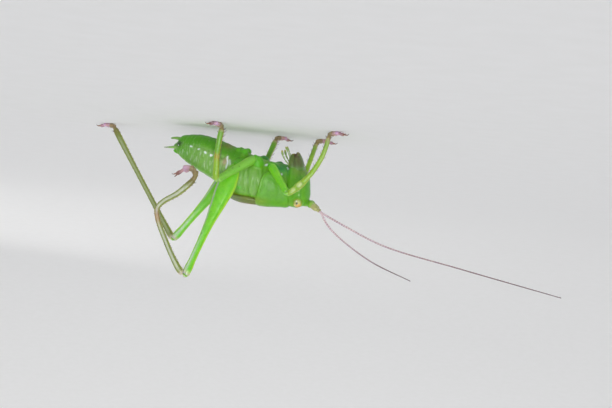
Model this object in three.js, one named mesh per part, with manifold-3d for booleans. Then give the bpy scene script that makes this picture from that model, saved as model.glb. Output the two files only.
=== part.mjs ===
// Long-horned grasshopper: a half-grown leaf bush-cricket (Phaneropterinae), life size, standing on five feet
// with its left hind leg lifted and curled.
//
// Millimetres. +X is forwards, +Y is the animal's left and +Z is up. The floor is z = 0. The group is shifted
// at the end so that the origin is under the middle of the whole animal, feelers included.

import * as THREE from "three";
import { mergeVertices } from "three/addons/utils/BufferGeometryUtils.js";
import Module from "manifold-3d";

const wasm = await Module();
wasm.setup();

// ---------------------------------------------------------------------------------------------------------
// Driving dimensions
// ---------------------------------------------------------------------------------------------------------

const GAP = 0.1; // clearance between neighbouring plates and joints
const FACET = 0.018; // how far a facet may stray from the true surface when small ones are merged
const ROLL = THREE.MathUtils.degToRad(6); // the trunk leans over, so that its belly turns to the left
const ROLL_AXIS_HEIGHT = 6.2;

// The trunk, from the tip of the tail to the neck.
const TAIL = -10.15;
const ABDOMEN_FRONT = -1.75;
const METATHORAX_FRONT = -0.3;
const MESOTHORAX_FRONT = 1.5;
const NECK = 4.75;
const ABDOMEN_RINGS = 9;

// Heights of the back and belly, and half of the width, along the trunk.
const back = profile(
  ...[[-10.15, 3.25], [-9.6, 4.25], [-8.2, 5.05], [-5.2, 6.55], [-3, 7.8], [-1, 8.7], [1.5, 9.1], [4.75, 9]],
);
const belly = profile(
  ...[[-10.15, 2.25], [-9.6, 1.6], [-8.4, 1.3], [-6.6, 1.22], [-4, 1.85], [-1, 2.95], [1.5, 3.7], [4.75, 4.1]],
);
const girth = profile(
  ...[[-10.15, 0.45], [-9.6, 1], [-8.2, 1.75], [-5.8, 2.4], [-3, 2.65], [0, 2.45], [2.5, 2.05], [4.75, 1.42]],
);
// How far the rings of the abdomen lean back from upright, as a slope.
const lean = profile([-10.15, 0.42], [-6, 0.34], [-2, 0.14], [0, 0], [4.75, 0]);
const TRUNK_SQUARENESS = 2.25; // 2 is an ellipse

const PRONOTUM = { thickness: 0.36, lift: 0.04, squareness: 2.5, reach: 5.4, halfSpan: 4 };

// The head's case: where its face, nape and cheeks stand at each height.
const HEAD_BOTTOM = 4.35;
const HEAD_TOP = 9.4;
const faceLine = profile([4.35, 6.5], [5.3, 7.1], [6.6, 7.32], [8.0, 7.38], [9.0, 7.0], [9.4, 6.3]);
const napeLine = profile([4.35, 4.95], [6.0, 4.72], [8.0, 4.7], [9.0, 4.75], [9.4, 5.2]);
const cheek = profile([4.35, 1.05], [5.3, 1.5], [6.6, 1.78], [8.0, 1.84], [8.9, 1.42], [9.4, 0.65]);
const EYE = { radius: 0.5, centre: [6.2, 1.66, 8.76] };

// The jointed feelers of the mouth, on the left side: base, bend and tip.
const PALPS = {
  palp_outer: [[4.75, 0.95, 4.15], [3.75, 1.25, 3.1], [3.45, 1.2, 2.15]],
  palp_inner: [[4.35, 0.45, 3.15], [4.0, 0.6, 2.5], [3.75, 0.6, 1.75]],
};

// Each leg's joints. `root` is inside the trunk, and `bow` is how far the middle of the shin is bent.
const LEGS = {
  front_left: {
    root: [3.0, 1.0, 5.3],
    hip: [2.45, 2.0, 4.35],
    knee: [5.4, 5.4, 7.95],
    ankle: [9.95, 6.45, 0.62],
    bow: [0.85, 0, 0.35],
    toes: [0.8, 0.6, 0],
  },
  front_right: {
    root: [3.0, -1.0, 5.0],
    hip: [2.95, -1.75, 3.95],
    knee: [4.7, -5.5, 7.8],
    ankle: [6.75, -6.5, 0.62],
    bow: [0.1, 0, 0.05],
    toes: [0.75, -0.66, 0],
  },
  middle_left: {
    root: [0.9, 1.2, 4.9],
    hip: [0.55, 2.2, 3.65],
    knee: [-3.65, 5.3, 7.0],
    ankle: [-3.2, 6.7, 0.62],
    bow: [-0.2, 0.15, 0],
    toes: [-0.45, 0.89, 0],
  },
  middle_right: {
    root: [0.9, -1.2, 4.5],
    hip: [0.85, -1.95, 3.35],
    knee: [-0.9, -5.8, 7.1],
    ankle: [1.35, -6.85, 0.62],
    bow: [0.05, 0, 0.05],
    toes: [0.55, -0.83, 0],
  },
  hind_left: {
    root: [-1.0, 1.2, 4.6],
    hip: [-1.75, 2.75, 4.6],
    knee: [-6.55, 4.8, 19.1],
  },
  hind_right: {
    root: [-1.1, -1.3, 4.5],
    hip: [-1.6, -2.35, 3.3],
    knee: [-10.8, -6.0, 14.6],
    ankle: [-20.5, -8.3, 0.62],
    bow: [-0.1, 0, -0.05],
    toes: [-0.88, -0.47, 0],
  },
};

// The shin and the foot of the lifted hind leg: the shin bends back on itself half way down.
const CURLED_SHIN = [
  [-7.05, 4.85, 18.7],
  [-9.3, 5.1, 15.0],
  [-10.68, 5.3, 11.95],
  [-10.3, 5.4, 10.35],
  [-8.15, 5.5, 8.95],
  [-6.28, 5.55, 7.1],
];
const CURLED_SHIN_SPLIT = 0.56;
const CURLED_FOOT = [
  [-6.15, 5.55, 6.78],
  [-6.5, 5.55, 6.15],
  [-6.98, 5.5, 5.74],
  [-7.68, 5.5, 6.02],
  [-8.56, 5.45, 6.66],
];
const CURLED_FOOT_TOP = new THREE.Vector3(0, 0.55, 0.83); // the way the top of the lifted foot faces

// Half-thicknesses along the length of each part of a leg, from 0 at the body end to 1.
const SLIM_THIGH = profile([0, 0.34], [0.12, 0.52], [0.4, 0.5], [0.8, 0.4], [0.93, 0.43], [1, 0.36]);
const HIND_THIGH_DEPTH = profile(
  ...[[0, 0.4], [0.06, 0.8], [0.2, 1.18], [0.34, 1.04], [0.52, 0.65]],
  ...[[0.7, 0.45], [0.86, 0.42], [0.95, 0.5], [1, 0.42]],
);
const HIND_THIGH_WIDTH = profile([0, 0.3], [0.18, 0.66], [0.45, 0.48], [0.72, 0.34], [0.95, 0.42], [1, 0.34]);
const EARED_SHIN = profile([0, 0.3], [0.07, 0.37], [0.2, 0.47], [0.36, 0.36], [0.7, 0.34], [1, 0.3]);
const SLIM_SHIN = profile([0, 0.3], [0.07, 0.37], [0.22, 0.31], [0.7, 0.29], [0.95, 0.33], [1, 0.28]);
const HIND_SHIN = profile([0, 0.32], [0.05, 0.43], [0.18, 0.38], [0.6, 0.36], [0.94, 0.43], [1, 0.34]);

// A foot on the floor: how far out each joint is from the ankle, its height, and the toe joints' half-widths.
const FOOT_REACH = [0, 0.75, 1.2, 1.7, 2.5];
const FOOT_HEIGHT = [0.4, 0.2, 0.18, 0.18, 0.32];
const TOE_RADII = [
  [0.3, 0.3],
  [0.33, 0.28],
  [0.46, 0.26],
  [0.25, 0.25],
];
const CLAW_LENGTH = 0.5;

// The feelers: a thick base joint on the head, then a long whip that is made in lengths.
const ANTENNAE = {
  left: {
    base: [[7.72, 0.5, 8.83], [8.6, 0.74, 9.4]],
    lengths: 2,
    path: [
      [12.3, 0.95, 11.2],
      [17.3, 1.3, 13.2],
      [27.0, 1.8, 15.2],
      [39.4, 2.2, 17.6],
    ],
  },
  right: {
    base: [[7.72, -0.5, 8.83], [8.52, -0.8, 9.42]],
    lengths: 2,
    path: [
      [9.6, -2.0, 11.05],
      [11.0, -3.2, 12.45],
      [14.7, -7.4, 15.05],
      [19.7, -15.5, 17.3],
    ],
  },
};
const WHIP_SETBACK = 0.22; // from the end of the base joint to the start of the whip's line
const WHIP_RADIUS = profile([0, 0.3], [0.15, 0.26], [1, 0.25]);

const COLOUR = {
  green: 0x6fc02c,
  pale_green: 0x9fd16a,
  yellow_green: 0xb4c64e,
  pink: 0xd8a8a8,
  brown: 0x8a6a4a,
  eye: 0xe0c860,
  feeler: 0xb08f88,
  pad: 0xb9b48a,
};

// ---------------------------------------------------------------------------------------------------------
// Shape tools
// ---------------------------------------------------------------------------------------------------------

/** A smooth curve through a few [place, value] pairs, as a function of the place. */
function profile(...pairs) {
  const slopes = pairs.map((_, i) => {
    const [a, va] = pairs[Math.max(i - 1, 0)];
    const [b, vb] = pairs[Math.min(i + 1, pairs.length - 1)];
    return (vb - va) / (b - a);
  });
  return (place) => {
    const next = pairs.findIndex(([p]) => p > place);
    const i = next < 0 ? pairs.length - 2 : Math.max(next - 1, 0);
    const [a, va] = pairs[i];
    const [b, vb] = pairs[i + 1];
    const span = b - a;
    const s = THREE.MathUtils.clamp((place - a) / span, 0, 1);
    const start = va * (1 + 2 * s) * (1 - s) ** 2 + slopes[i] * span * s * (1 - s) ** 2;
    const end = vb * (3 - 2 * s) * s ** 2 - slopes[i + 1] * span * s ** 2 * (1 - s);
    return start + end;
  };
}

/** A point as a vector. */
function at([x, y, z]) {
  return new THREE.Vector3(x, y, z);
}

/** A place on the trunk, before it rolls, as a place in the part's frame. */
function rolled(x, y, z) {
  const height = z - ROLL_AXIS_HEIGHT;
  return new THREE.Vector3(
    x,
    y * Math.cos(ROLL) - height * Math.sin(ROLL),
    ROLL_AXIS_HEIGHT + y * Math.sin(ROLL) + height * Math.cos(ROLL),
  );
}

/** cos or sin of an angle, squared off: 2 keeps a circle, and more moves it towards a square. */
function squared(value, squareness) {
  return Math.sign(value) * Math.abs(value) ** (2 / squareness);
}

/** A closed skin: a cylinder whose vertices move to place(t, angle, reach). reach is 0 at a cap's centre. */
function skin(sides, steps, place) {
  const geometry = new THREE.CylinderGeometry(1, 1, 1, sides, steps);
  const vertices = geometry.attributes.position;
  for (let i = 0; i < vertices.count; i++) {
    const [x, z] = [vertices.getX(i), vertices.getZ(i)];
    const point = place(vertices.getY(i) + 0.5, Math.atan2(z, x), Math.hypot(x, z));
    vertices.setXYZ(i, point.x, point.y, point.z);
  }
  return geometry;
}

/** A geometry as a manifold solid. */
function solid(geometry) {
  const bare = new THREE.BufferGeometry().setAttribute("position", geometry.attributes.position);
  bare.setIndex(geometry.index);
  const merged = mergeVertices(bare, 1e-4);
  const mesh = new wasm.Mesh({
    numProp: 3,
    vertProperties: merged.attributes.position.array,
    triVerts: new Uint32Array(merged.index.array),
  });
  return new wasm.Manifold(mesh);
}

/** A manifold solid as a geometry, without its smallest facets, moved so that `origin` is its own zero. */
function geometryOf(shape, origin) {
  const mesh = shape.simplify(FACET).getMesh();
  const geometry = new THREE.BufferGeometry();
  geometry.setAttribute("position", new THREE.BufferAttribute(new Float32Array(mesh.vertProperties), 3));
  geometry.setIndex(new THREE.BufferAttribute(new Uint32Array(mesh.triVerts), 1));
  geometry.translate(-origin.x, -origin.y, -origin.z);
  geometry.computeVertexNormals();
  return geometry;
}

/** All of the shapes as one solid. */
function joined(shapes) {
  return shapes.reduce((whole, shape) => whole.add(shape));
}

/** A shape with its neighbours taken out of it. */
function clearOf(shape, ...neighbours) {
  return neighbours.reduce((left, neighbour) => left.subtract(neighbour), shape);
}

/**
 * A limb along a curve with rounded ends. size(t) gives its half-thickness across and along `up`, and `grow`
 * swells it all over.
 */
function limb(curve, { up = [0, 0, 1], sides = 8, steps = 8, size, grow = 0 }) {
  const length = curve.getLength();
  const upward = at(up);
  const round = Math.min(size(0)[1], length / 3) + grow;
  return solid(
    skin(sides, steps, (u, angle, reach) => {
      const t = 0.5 - 0.5 * Math.cos(Math.PI * u); // steps crowd together towards the ends
      const forward = curve.getTangentAt(t);
      const across = new THREE.Vector3().crossVectors(forward, upward).normalize();
      const above = new THREE.Vector3().crossVectors(across, forward);
      const toEnd = Math.min(t, 1 - t) * length;
      const ease = Math.min(1, 0.45 + 0.55 * Math.sqrt(Math.min(1, toEnd / round)));
      const [wide, deep] = size(t);
      return curve
        .getPointAt(t)
        .addScaledVector(forward, (u === 0 ? -grow : 0) + (u === 1 ? grow : 0))
        .addScaledVector(across, Math.cos(angle) * reach * (wide * ease + grow))
        .addScaledVector(above, Math.sin(angle) * reach * (deep * ease + grow));
    }),
  );
}

/** A straight limb between two points. */
function strut(from, to, options) {
  return limb(new THREE.LineCurve3(at(from), at(to)), options);
}

/** A stretch of a curve, from one share of its length to another. */
class Stretch extends THREE.Curve {
  constructor(curve, from, to) {
    super();
    this.curve = curve;
    this.from = from;
    this.to = to;
  }

  getPoint(t, target = new THREE.Vector3()) {
    return this.curve.getPointAt(THREE.MathUtils.clamp(this.from + (this.to - this.from) * t, 0, 1), target);
  }
}

/** A curve with a little taken off its start, in millimetres. */
function shortened(curve, cut) {
  return new Stretch(curve, cut / curve.getLength(), 1);
}

/** A named mesh that hangs from `origin`. */
function part(name, shape, origin, color, roughness = 0.45) {
  const material = new THREE.MeshStandardMaterial({ color, roughness, metalness: 0 });
  const mesh = new THREE.Mesh(geometryOf(shape, origin), material);
  mesh.name = name;
  mesh.position.copy(origin);
  return mesh;
}

// ---------------------------------------------------------------------------------------------------------
// Trunk: thorax and abdomen
// ---------------------------------------------------------------------------------------------------------

/** A place on the trunk's surface, on the ring that stands at `station` and leans back. */
function trunkPlace(station, angle, reach, grow = 0, squareness = TRUNK_SQUARENESS) {
  const middle = (x) => (back(x) + belly(x)) / 2;
  const rise = squared(Math.sin(angle), squareness) * reach;
  const out = squared(Math.cos(angle), squareness) * reach;
  let x = station;
  let z = middle(station);
  for (let pass = 0; pass < 5; pass++) {
    z = middle(x) + rise * ((back(x) - belly(x)) / 2 + grow);
    x = station - lean(station) * (z - middle(station));
  }
  return rolled(x, -out * (girth(x) + grow), z);
}

/** One ring of the trunk. Its middle bulges by `bulge`, as a plate does between two folds. */
function trunkRing(from, to, { steps = 2, bulge = 0.06, grow = 0 } = {}) {
  const sides = 16;
  return solid(
    skin(sides, steps, (t, angle, reach) => {
      const station = from - grow + (to - from + 2 * grow) * t;
      const swell = grow + bulge * Math.sin(Math.PI * t);
      return trunkPlace(station, angle, reach, swell);
    }),
  );
}

/** The whole trunk, swollen: what is taken out of everything that sits on it. */
function trunkHollow(grow) {
  return trunkRing(TAIL, NECK, { steps: 24, bulge: 0, grow });
}

function buildTrunk(group) {
  const pitch = (ABDOMEN_FRONT - TAIL) / ABDOMEN_RINGS;
  for (let i = 0; i < ABDOMEN_RINGS; i++) {
    const front = ABDOMEN_FRONT - i * pitch;
    const shape = trunkRing(front - pitch + GAP, front);
    const name = i === ABDOMEN_RINGS - 1 ? "abdomen_tip" : "abdomen_" + (i + 1);
    group.add(part(name, shape, rolled(front, 0, (back(front) + belly(front)) / 2), COLOUR.green, 0.35));
  }
  const thorax = [
    ["metathorax", ABDOMEN_FRONT + GAP, METATHORAX_FRONT],
    ["mesothorax", METATHORAX_FRONT + GAP, MESOTHORAX_FRONT],
    ["prothorax", MESOTHORAX_FRONT + GAP, NECK],
  ];
  for (const [name, hind, front] of thorax) {
    const middle = rolled(hind, 0, (back(hind) + belly(hind)) / 2);
    group.add(part(name, trunkRing(hind, front, { steps: 3, bulge: 0 }), middle, COLOUR.green));
  }
}

/** The outline of the shield behind the head, seen from the side. */
function pronotumOutline() {
  const outline = new THREE.Shape();
  outline.moveTo(4.85, 10);
  outline.quadraticCurveTo(5.0, 8.6, 4.85, 7.4);
  outline.quadraticCurveTo(4.7, 5.9, 3.9, 5.35);
  outline.quadraticCurveTo(3.0, 4.95, 2.2, 5.5);
  outline.quadraticCurveTo(1.25, 6.4, 1.05, 7.6);
  outline.quadraticCurveTo(0.55, 8.6, 0.5, 10);
  return outline;
}

/** The saddle-shaped shield over the first ring of the thorax. */
function pronotumShape(grow = 0) {
  const { thickness, lift, squareness, reach: length, halfSpan } = PRONOTUM;
  const shell = (swell) =>
    solid(skin(20, 5, (t, angle, reach) => trunkPlace(length * t, angle, reach, swell, squareness)));
  const outline = new THREE.ExtrudeGeometry(pronotumOutline(), {
    depth: 2 * halfSpan,
    bevelEnabled: false,
    curveSegments: 3,
  });
  outline.rotateX(Math.PI / 2);
  outline.translate(0, halfSpan, 0);
  outline.translate(0, 0, -ROLL_AXIS_HEIGHT);
  outline.rotateX(ROLL);
  outline.translate(0, 0, ROLL_AXIS_HEIGHT);
  const shield = shell(lift + thickness + GAP + grow).subtract(shell(lift + GAP - grow));
  return shield.intersect(solid(outline));
}

/** One of the two short wing pads that lie on the back behind the shield. */
function wingPad(side) {
  const path = new THREE.QuadraticBezierCurve3(
    rolled(0.75, side * 1.15, 9.18),
    rolled(-1.0, side * 1.45, 9.1),
    rolled(-2.95, side * 1.15, 8.6),
  );
  const wide = profile([0, 0.6], [0.35, 0.85], [0.75, 0.62], [1, 0.3]);
  return limb(path, {
    up: [0, side * 0.62, 0.78],
    sides: 8,
    steps: 5,
    size: (t) => [wide(t), 0.28],
  });
}

function buildShield(group) {
  group.add(part("pronotum", pronotumShape(), rolled(2.7, 0, 9.3), COLOUR.green, 0.4));
  for (const [name, side] of [["left", 1], ["right", -1]]) {
    const shape = clearOf(wingPad(side), trunkHollow(GAP), pronotumShape(GAP));
    group.add(part("wing_pad_" + name, shape, rolled(0.5, side * 1.1, 9.2), COLOUR.pad));
  }
}

/** The feelers of the tail and the plate under them. */
function buildTail(group) {
  const hollow = trunkHollow(GAP);
  const taper = profile([0, 0.3], [0.5, 0.27], [1, 0.12]);
  for (const [name, side] of [["left", 1], ["right", -1]]) {
    const base = rolled(-9.5, side * 0.7, 2.95);
    const middle = rolled(-10.6, side * 0.95, 3.0);
    const tip = rolled(-11.45, side * 0.7, 3.1);
    const shape = limb(new THREE.QuadraticBezierCurve3(base, middle, tip), {
      sides: 7,
      steps: 5,
      size: (t) => [taper(t), taper(t)],
    });
    group.add(part("cercus_" + name, clearOf(shape, hollow), base, COLOUR.pale_green));
  }
  const plate = limb(
    new THREE.QuadraticBezierCurve3(rolled(-9.4, 0, 1.95), rolled(-10.3, 0, 1.75), rolled(-10.85, 0, 1.95)),
    { sides: 8, steps: 4, size: (t) => [0.5 - 0.25 * t, 0.3 - 0.08 * t] },
  );
  group.add(part("subgenital_plate", clearOf(plate, hollow), rolled(-10, 0, 2), COLOUR.pale_green));
}

// ---------------------------------------------------------------------------------------------------------
// Head
// ---------------------------------------------------------------------------------------------------------

/** The head's case and the forehead's snout between the feelers, with sockets for the eyes. */
function headShape(grow = 0) {
  const height = HEAD_TOP - HEAD_BOTTOM + 2 * grow;
  const capsule = solid(
    skin(16, 9, (u, angle, reach) => {
      const t = 0.5 - 0.5 * Math.cos(Math.PI * u);
      const z = HEAD_BOTTOM - grow + height * t;
      const ease = Math.min(1, 0.5 + Math.sqrt(Math.max(0, 1 - t)) * 1.3);
      const depth = (faceLine(z) - napeLine(z)) / 2;
      const middle = (faceLine(z) + napeLine(z)) / 2;
      const x = middle - squared(Math.cos(angle), 2.3) * reach * (depth * ease + grow);
      const y = squared(Math.sin(angle), 2.1) * reach * (cheek(z) * ease + grow);
      return rolled(x, y, z);
    }),
  );
  const snout = limb(new THREE.LineCurve3(rolled(6.4, 0, 8.45), rolled(7.95, 0, 8.72)), {
    sides: 8,
    steps: 4,
    size: (t) => [0.85 - 0.3 * t, 0.55 - 0.22 * t],
    grow,
  });
  return capsule.add(snout);
}

/** A compound eye, a little ball set on the upper corner of the head. */
function eyeShape(side, grow = 0) {
  const [x, y, z] = EYE.centre;
  const centre = rolled(x, side * y, z);
  const ball = new THREE.SphereGeometry(1, 10, 7);
  const radius = EYE.radius + grow;
  ball.scale(radius * 0.92, radius * 0.85, radius);
  ball.translate(centre.x, centre.y, centre.z);
  return solid(ball);
}

/** The upper lip, from the foot of the face to its rounded edge. */
function lipShape(grow = 0) {
  const [top, front, edge] = [rolled(6.35, 0, 4.95), rolled(6.4, 0, 3.6), rolled(5.35, 0, 2.4)];
  const path = new THREE.QuadraticBezierCurve3(top, front, edge);
  const wide = profile([0, 1.0], [0.45, 0.85], [0.85, 0.68], [1, 0.42]);
  return limb(path, { up: [1, 0, 0.4], sides: 10, steps: 6, size: (t) => [wide(t), 0.3 - 0.05 * t], grow });
}

/** One jaw, behind the lip. */
function jawShape(side, grow = 0) {
  const path = new THREE.LineCurve3(rolled(5.55, side * 0.62, 4.9), rolled(5.05, side * 0.36, 2.75));
  const wide = profile([0, 0.42], [0.5, 0.36], [1, 0.2]);
  return limb(path, { up: [1, 0, 0], sides: 8, steps: 5, size: (t) => [wide(t), 0.42 - 0.12 * t], grow });
}

/** The lower lip, at the back of the mouth. */
function lowerLipShape(grow = 0) {
  const path = new THREE.LineCurve3(rolled(4.98, 0, 4.4), rolled(4.6, 0, 2.95));
  return limb(path, { up: [1, 0, 0], sides: 8, steps: 4, size: (t) => [0.75 - 0.25 * t, 0.28], grow });
}

function buildHead(group) {
  const sockets = [1, -1].map((side) => eyeShape(side, GAP / 2));
  const bodyHollows = [trunkHollow(GAP), pronotumShape(GAP)];
  const mouthHollows = [lipShape(GAP), jawShape(1, GAP), jawShape(-1, GAP), lowerLipShape(GAP)];
  const bases = Object.values(ANTENNAE).map(({ base }) => feelerBase(base, GAP));
  const head = clearOf(headShape(), ...sockets, ...bodyHollows, ...mouthHollows, ...bases);
  group.add(part("head", head, rolled(4.9, 0, 7.5), COLOUR.green));

  for (const [name, side] of [["left", 1], ["right", -1]]) {
    const [x, y, z] = EYE.centre;
    group.add(part("eye_" + name, eyeShape(side, -GAP / 2), rolled(x, side * y, z), COLOUR.eye, 0.15));
    const jaw = clearOf(jawShape(side), lipShape(GAP), lowerLipShape(GAP), trunkHollow(GAP));
    group.add(part("jaw_" + name, jaw, rolled(5.4, side * 0.6, 4.6), COLOUR.brown));
  }
  group.add(part("lip", clearOf(lipShape(), trunkHollow(GAP)), rolled(6.4, 0, 4.8), COLOUR.yellow_green));
  group.add(part("lower_lip", clearOf(lowerLipShape(), trunkHollow(GAP)), rolled(4.7, 0, 4.5), COLOUR.green));
}

function buildPalps(group) {
  const hollows = [trunkHollow(GAP), headShape(GAP), lowerLipShape(GAP), jawShape(1, GAP), jawShape(-1, GAP)];
  const coxae = ["front_left", "front_right"].map((name) => coxaShape(LEGS[name], GAP));
  for (const [kind, joints] of Object.entries(PALPS)) {
    for (const [name, side] of [["left", 1], ["right", -1]]) {
      const points = joints.map(([x, y, z]) => rolled(x, side * y, z));
      const curve = new THREE.QuadraticBezierCurve3(...points);
      const thick = profile([0, 0.25], [0.6, 0.25], [0.9, 0.3], [1, 0.2]);
      const shape = limb(curve, { up: [0, 1, 0], sides: 6, steps: 5, size: (t) => [thick(t), thick(t)] });
      group.add(part(kind + "_" + name, clearOf(shape, ...hollows, ...coxae), points[0], COLOUR.pale_green));
    }
  }
}

// ---------------------------------------------------------------------------------------------------------
// Feelers
// ---------------------------------------------------------------------------------------------------------

/** The thick first joint of a feeler. */
function feelerBase(ends, grow = 0) {
  const [from, to] = ends.map(([x, y, z]) => rolled(x, y, z).toArray());
  const thick = profile([0, 0.3], [0.35, 0.4], [0.8, 0.36], [1, 0.26]);
  return strut(from, to, { sides: 8, steps: 5, size: (t) => [thick(t), thick(t)], grow });
}

function buildFeelers(group) {
  for (const [side, { base, lengths, path }] of Object.entries(ANTENNAE)) {
    const other = ANTENNAE[side === "left" ? "right" : "left"];
    const whole = feelerBase(base);
    const root = side === "right" ? clearOf(whole, feelerBase(other.base, GAP)) : whole;
    group.add(part("antenna_" + side + "_base", root, rolled(...base[0]), COLOUR.yellow_green));
    const [from, to] = base.map((place) => rolled(...place));
    const start = to.clone().sub(from).setLength(WHIP_SETBACK).add(to);
    const whip = new THREE.CatmullRomCurve3([start, ...path.map(at)], false, "centripetal");
    for (let i = 0; i < lengths; i++) {
      const piece = shortened(new Stretch(whip, i / lengths, (i + 1) / lengths), i ? GAP : 0);
      const thickness = (t) => WHIP_RADIUS((i + t) / lengths);
      const shape = limb(piece, {
        sides: 7,
        steps: 6,
        size: (t) => [thickness(t), thickness(t)],
      });
      const cleared = i === 0 ? clearOf(shape, feelerBase(base, GAP)) : shape;
      group.add(part("antenna_" + side + "_" + (i + 1), cleared, piece.getPoint(0), COLOUR.feeler));
    }
  }
}

// ---------------------------------------------------------------------------------------------------------
// Legs
// ---------------------------------------------------------------------------------------------------------

/** The thick joint that carries a leg, half buried in the trunk. */
function coxaShape({ root, hip }, grow = 0) {
  const thick = profile([0, 0.85], [0.5, 0.82], [0.85, 0.62], [1, 0.42]);
  const end = at(hip).sub(at(root)).setLength(0.25).add(at(hip));
  const size = (t) => [thick(t), thick(t)];
  return strut(root, end.toArray(), { up: [1, 0, 0], sides: 8, steps: 5, size, grow });
}

/** The thigh. `name` says whether it is a jumping leg, which is deep and flat. */
function thighShape(name, { hip, knee }, grow = 0) {
  const hind = name.startsWith("hind");
  const [wide, deep] = hind ? [HIND_THIGH_WIDTH, HIND_THIGH_DEPTH] : [SLIM_THIGH, SLIM_THIGH];
  const size = (t) => [wide(t), deep(t)];
  return strut(hip, knee, { up: hind ? [-1, 0, 0.2] : [0, 0, 1], sides: 8, steps: hind ? 10 : 6, size, grow });
}

/** The shin's line from the knee to the ankle. */
function shinCurve({ knee, ankle, bow }) {
  const middle = at(knee).add(at(ankle)).multiplyScalar(0.5).addScaledVector(at(bow), 2);
  return new THREE.QuadraticBezierCurve3(at(knee), middle, at(ankle));
}

/** The thickness along the shin of a leg. */
function shinSize(name) {
  if (name.startsWith("front")) return EARED_SHIN;
  return name.startsWith("middle") ? SLIM_SHIN : HIND_SHIN;
}

/** One length of a shin along its curve. `from` and `to` say which share of the whole shin it is. */
function shinShape(name, curve, from = 0, to = 1, grow = 0) {
  const thickness = shinSize(name);
  const size = (t) => {
    const thick = thickness(from + (to - from) * t);
    return [thick, thick];
  };
  return limb(curve, { up: [0, 1, 0], sides: 7, steps: 7, size, grow });
}

/** The joints of a foot that stands on the floor. */
function footJoints({ ankle, toes }) {
  const out = at(toes).normalize();
  return FOOT_REACH.map((reach, i) => {
    const joint = at(ankle).addScaledVector(out, reach);
    joint.z = FOOT_HEIGHT[i];
    return joint;
  });
}

/** One hooked claw at the end of a foot. */
function clawShape(tip, forward, side, up) {
  const across = new THREE.Vector3().crossVectors(forward, up).normalize();
  const point = (along, out, rise) =>
    tip.clone().addScaledVector(forward, along).addScaledVector(across, side * out).addScaledVector(up, rise);
  const curve = new THREE.QuadraticBezierCurve3(
    point(-0.2, 0.02, 0),
    point(CLAW_LENGTH * 0.75, 0.3, 0.12),
    point(CLAW_LENGTH, 0.3, -0.22),
  );
  return limb(curve, { up: up.toArray(), sides: 5, steps: 3, size: (t) => [0.2 - 0.08 * t, 0.2 - 0.08 * t] });
}

/** A foot: four toe joints, the third one broad, and two claws. */
function footShape(joints, up) {
  const toes = TOE_RADII.map(([wide, deep], i) => {
    const line = new THREE.LineCurve3(joints[i], joints[i + 1]);
    const overlap = 0.14;
    const along = line.getTangentAt(0).multiplyScalar(overlap);
    const piece = new THREE.LineCurve3(joints[i].clone().sub(along), joints[i + 1].clone().add(along));
    return limb(piece, { up: up.toArray(), sides: 6, steps: 2, size: () => [wide, deep] });
  });
  const forward = joints[4].clone().sub(joints[3]).normalize();
  const claws = [1, -1].map((side) => clawShape(joints[4], forward, side, up));
  return joined([...toes, ...claws]);
}

/** Everything under the floor, so that a foot ends in flat soles. */
function underFloor() {
  const block = new THREE.BoxGeometry(120, 80, 10);
  block.translate(0, 0, -5);
  return solid(block);
}

function buildLeg(group, name) {
  const leg = LEGS[name];
  const trunk = trunkHollow(GAP);
  const coxa = clearOf(coxaShape(leg), trunk, pronotumShape(GAP));
  group.add(part("coxa_" + name, coxa, at(leg.root), COLOUR.green));

  const neighbours = name.startsWith("front") ? [pronotumShape(GAP), headShape(GAP)] : [];
  const thigh = clearOf(thighShape(name, leg), coxaShape(leg, GAP), trunk, ...neighbours);
  group.add(part("femur_" + name, thigh, at(leg.hip), COLOUR.green));

  const curled = name === "hind_left";
  const curve = curled ? new THREE.CatmullRomCurve3(CURLED_SHIN.map(at)) : shinCurve(leg);
  const split = CURLED_SHIN_SPLIT;
  const lengths = curled ? [["_upper", 0, split], ["_lower", split, 1]] : [["", 0, 1]];
  const thighHollow = thighShape(name, leg, GAP);
  let shinHollow = null;
  for (const [suffix, from, to] of lengths) {
    const stretch = shortened(new Stretch(curve, from, to), from ? GAP : 0);
    const shin = clearOf(shinShape(name, stretch, from, to), thighHollow);
    shinHollow = shinShape(name, stretch, from, to, GAP);
    group.add(part("tibia_" + name + suffix, shin, stretch.getPoint(0), COLOUR.yellow_green));
  }

  const joints = curled ? CURLED_FOOT.map(at) : footJoints(leg);
  const up = curled ? CURLED_FOOT_TOP : new THREE.Vector3(0, 0, 1);
  const foot = clearOf(footShape(joints, up), shinHollow, underFloor());
  group.add(part("tarsus_" + name, foot, joints[0], COLOUR.pink, 0.6));
}

// ---------------------------------------------------------------------------------------------------------
// Assembly
// ---------------------------------------------------------------------------------------------------------

const insect = new THREE.Group();
buildTrunk(insect);
buildShield(insect);
buildTail(insect);
buildHead(insect);
buildPalps(insect);
buildFeelers(insect);
Object.keys(LEGS).forEach((name) => buildLeg(insect, name));

const extent = new THREE.Box3().setFromObject(insect, true);
const centre = extent.getCenter(new THREE.Vector3());
insect.position.set(-centre.x, -centre.y, 0);

export default insect;
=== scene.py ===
"""A still, life-size museum model of a leaf bush-cricket nymph, standing on five feet.

Each class below is one sub-assembly: it holds its sizes in millimetres, builds its meshes and dresses them.
Sizes are given in the modeller's own frame, +X forwards, +Y to the animal's left, +Z up from the floor. The
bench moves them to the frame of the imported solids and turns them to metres.
"""

import logging
import math
from collections.abc import Callable, Iterable, Sequence
from dataclasses import dataclass, field
from enum import Enum

import bpy
import numpy as np
from mathutils import Matrix, Vector


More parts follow.
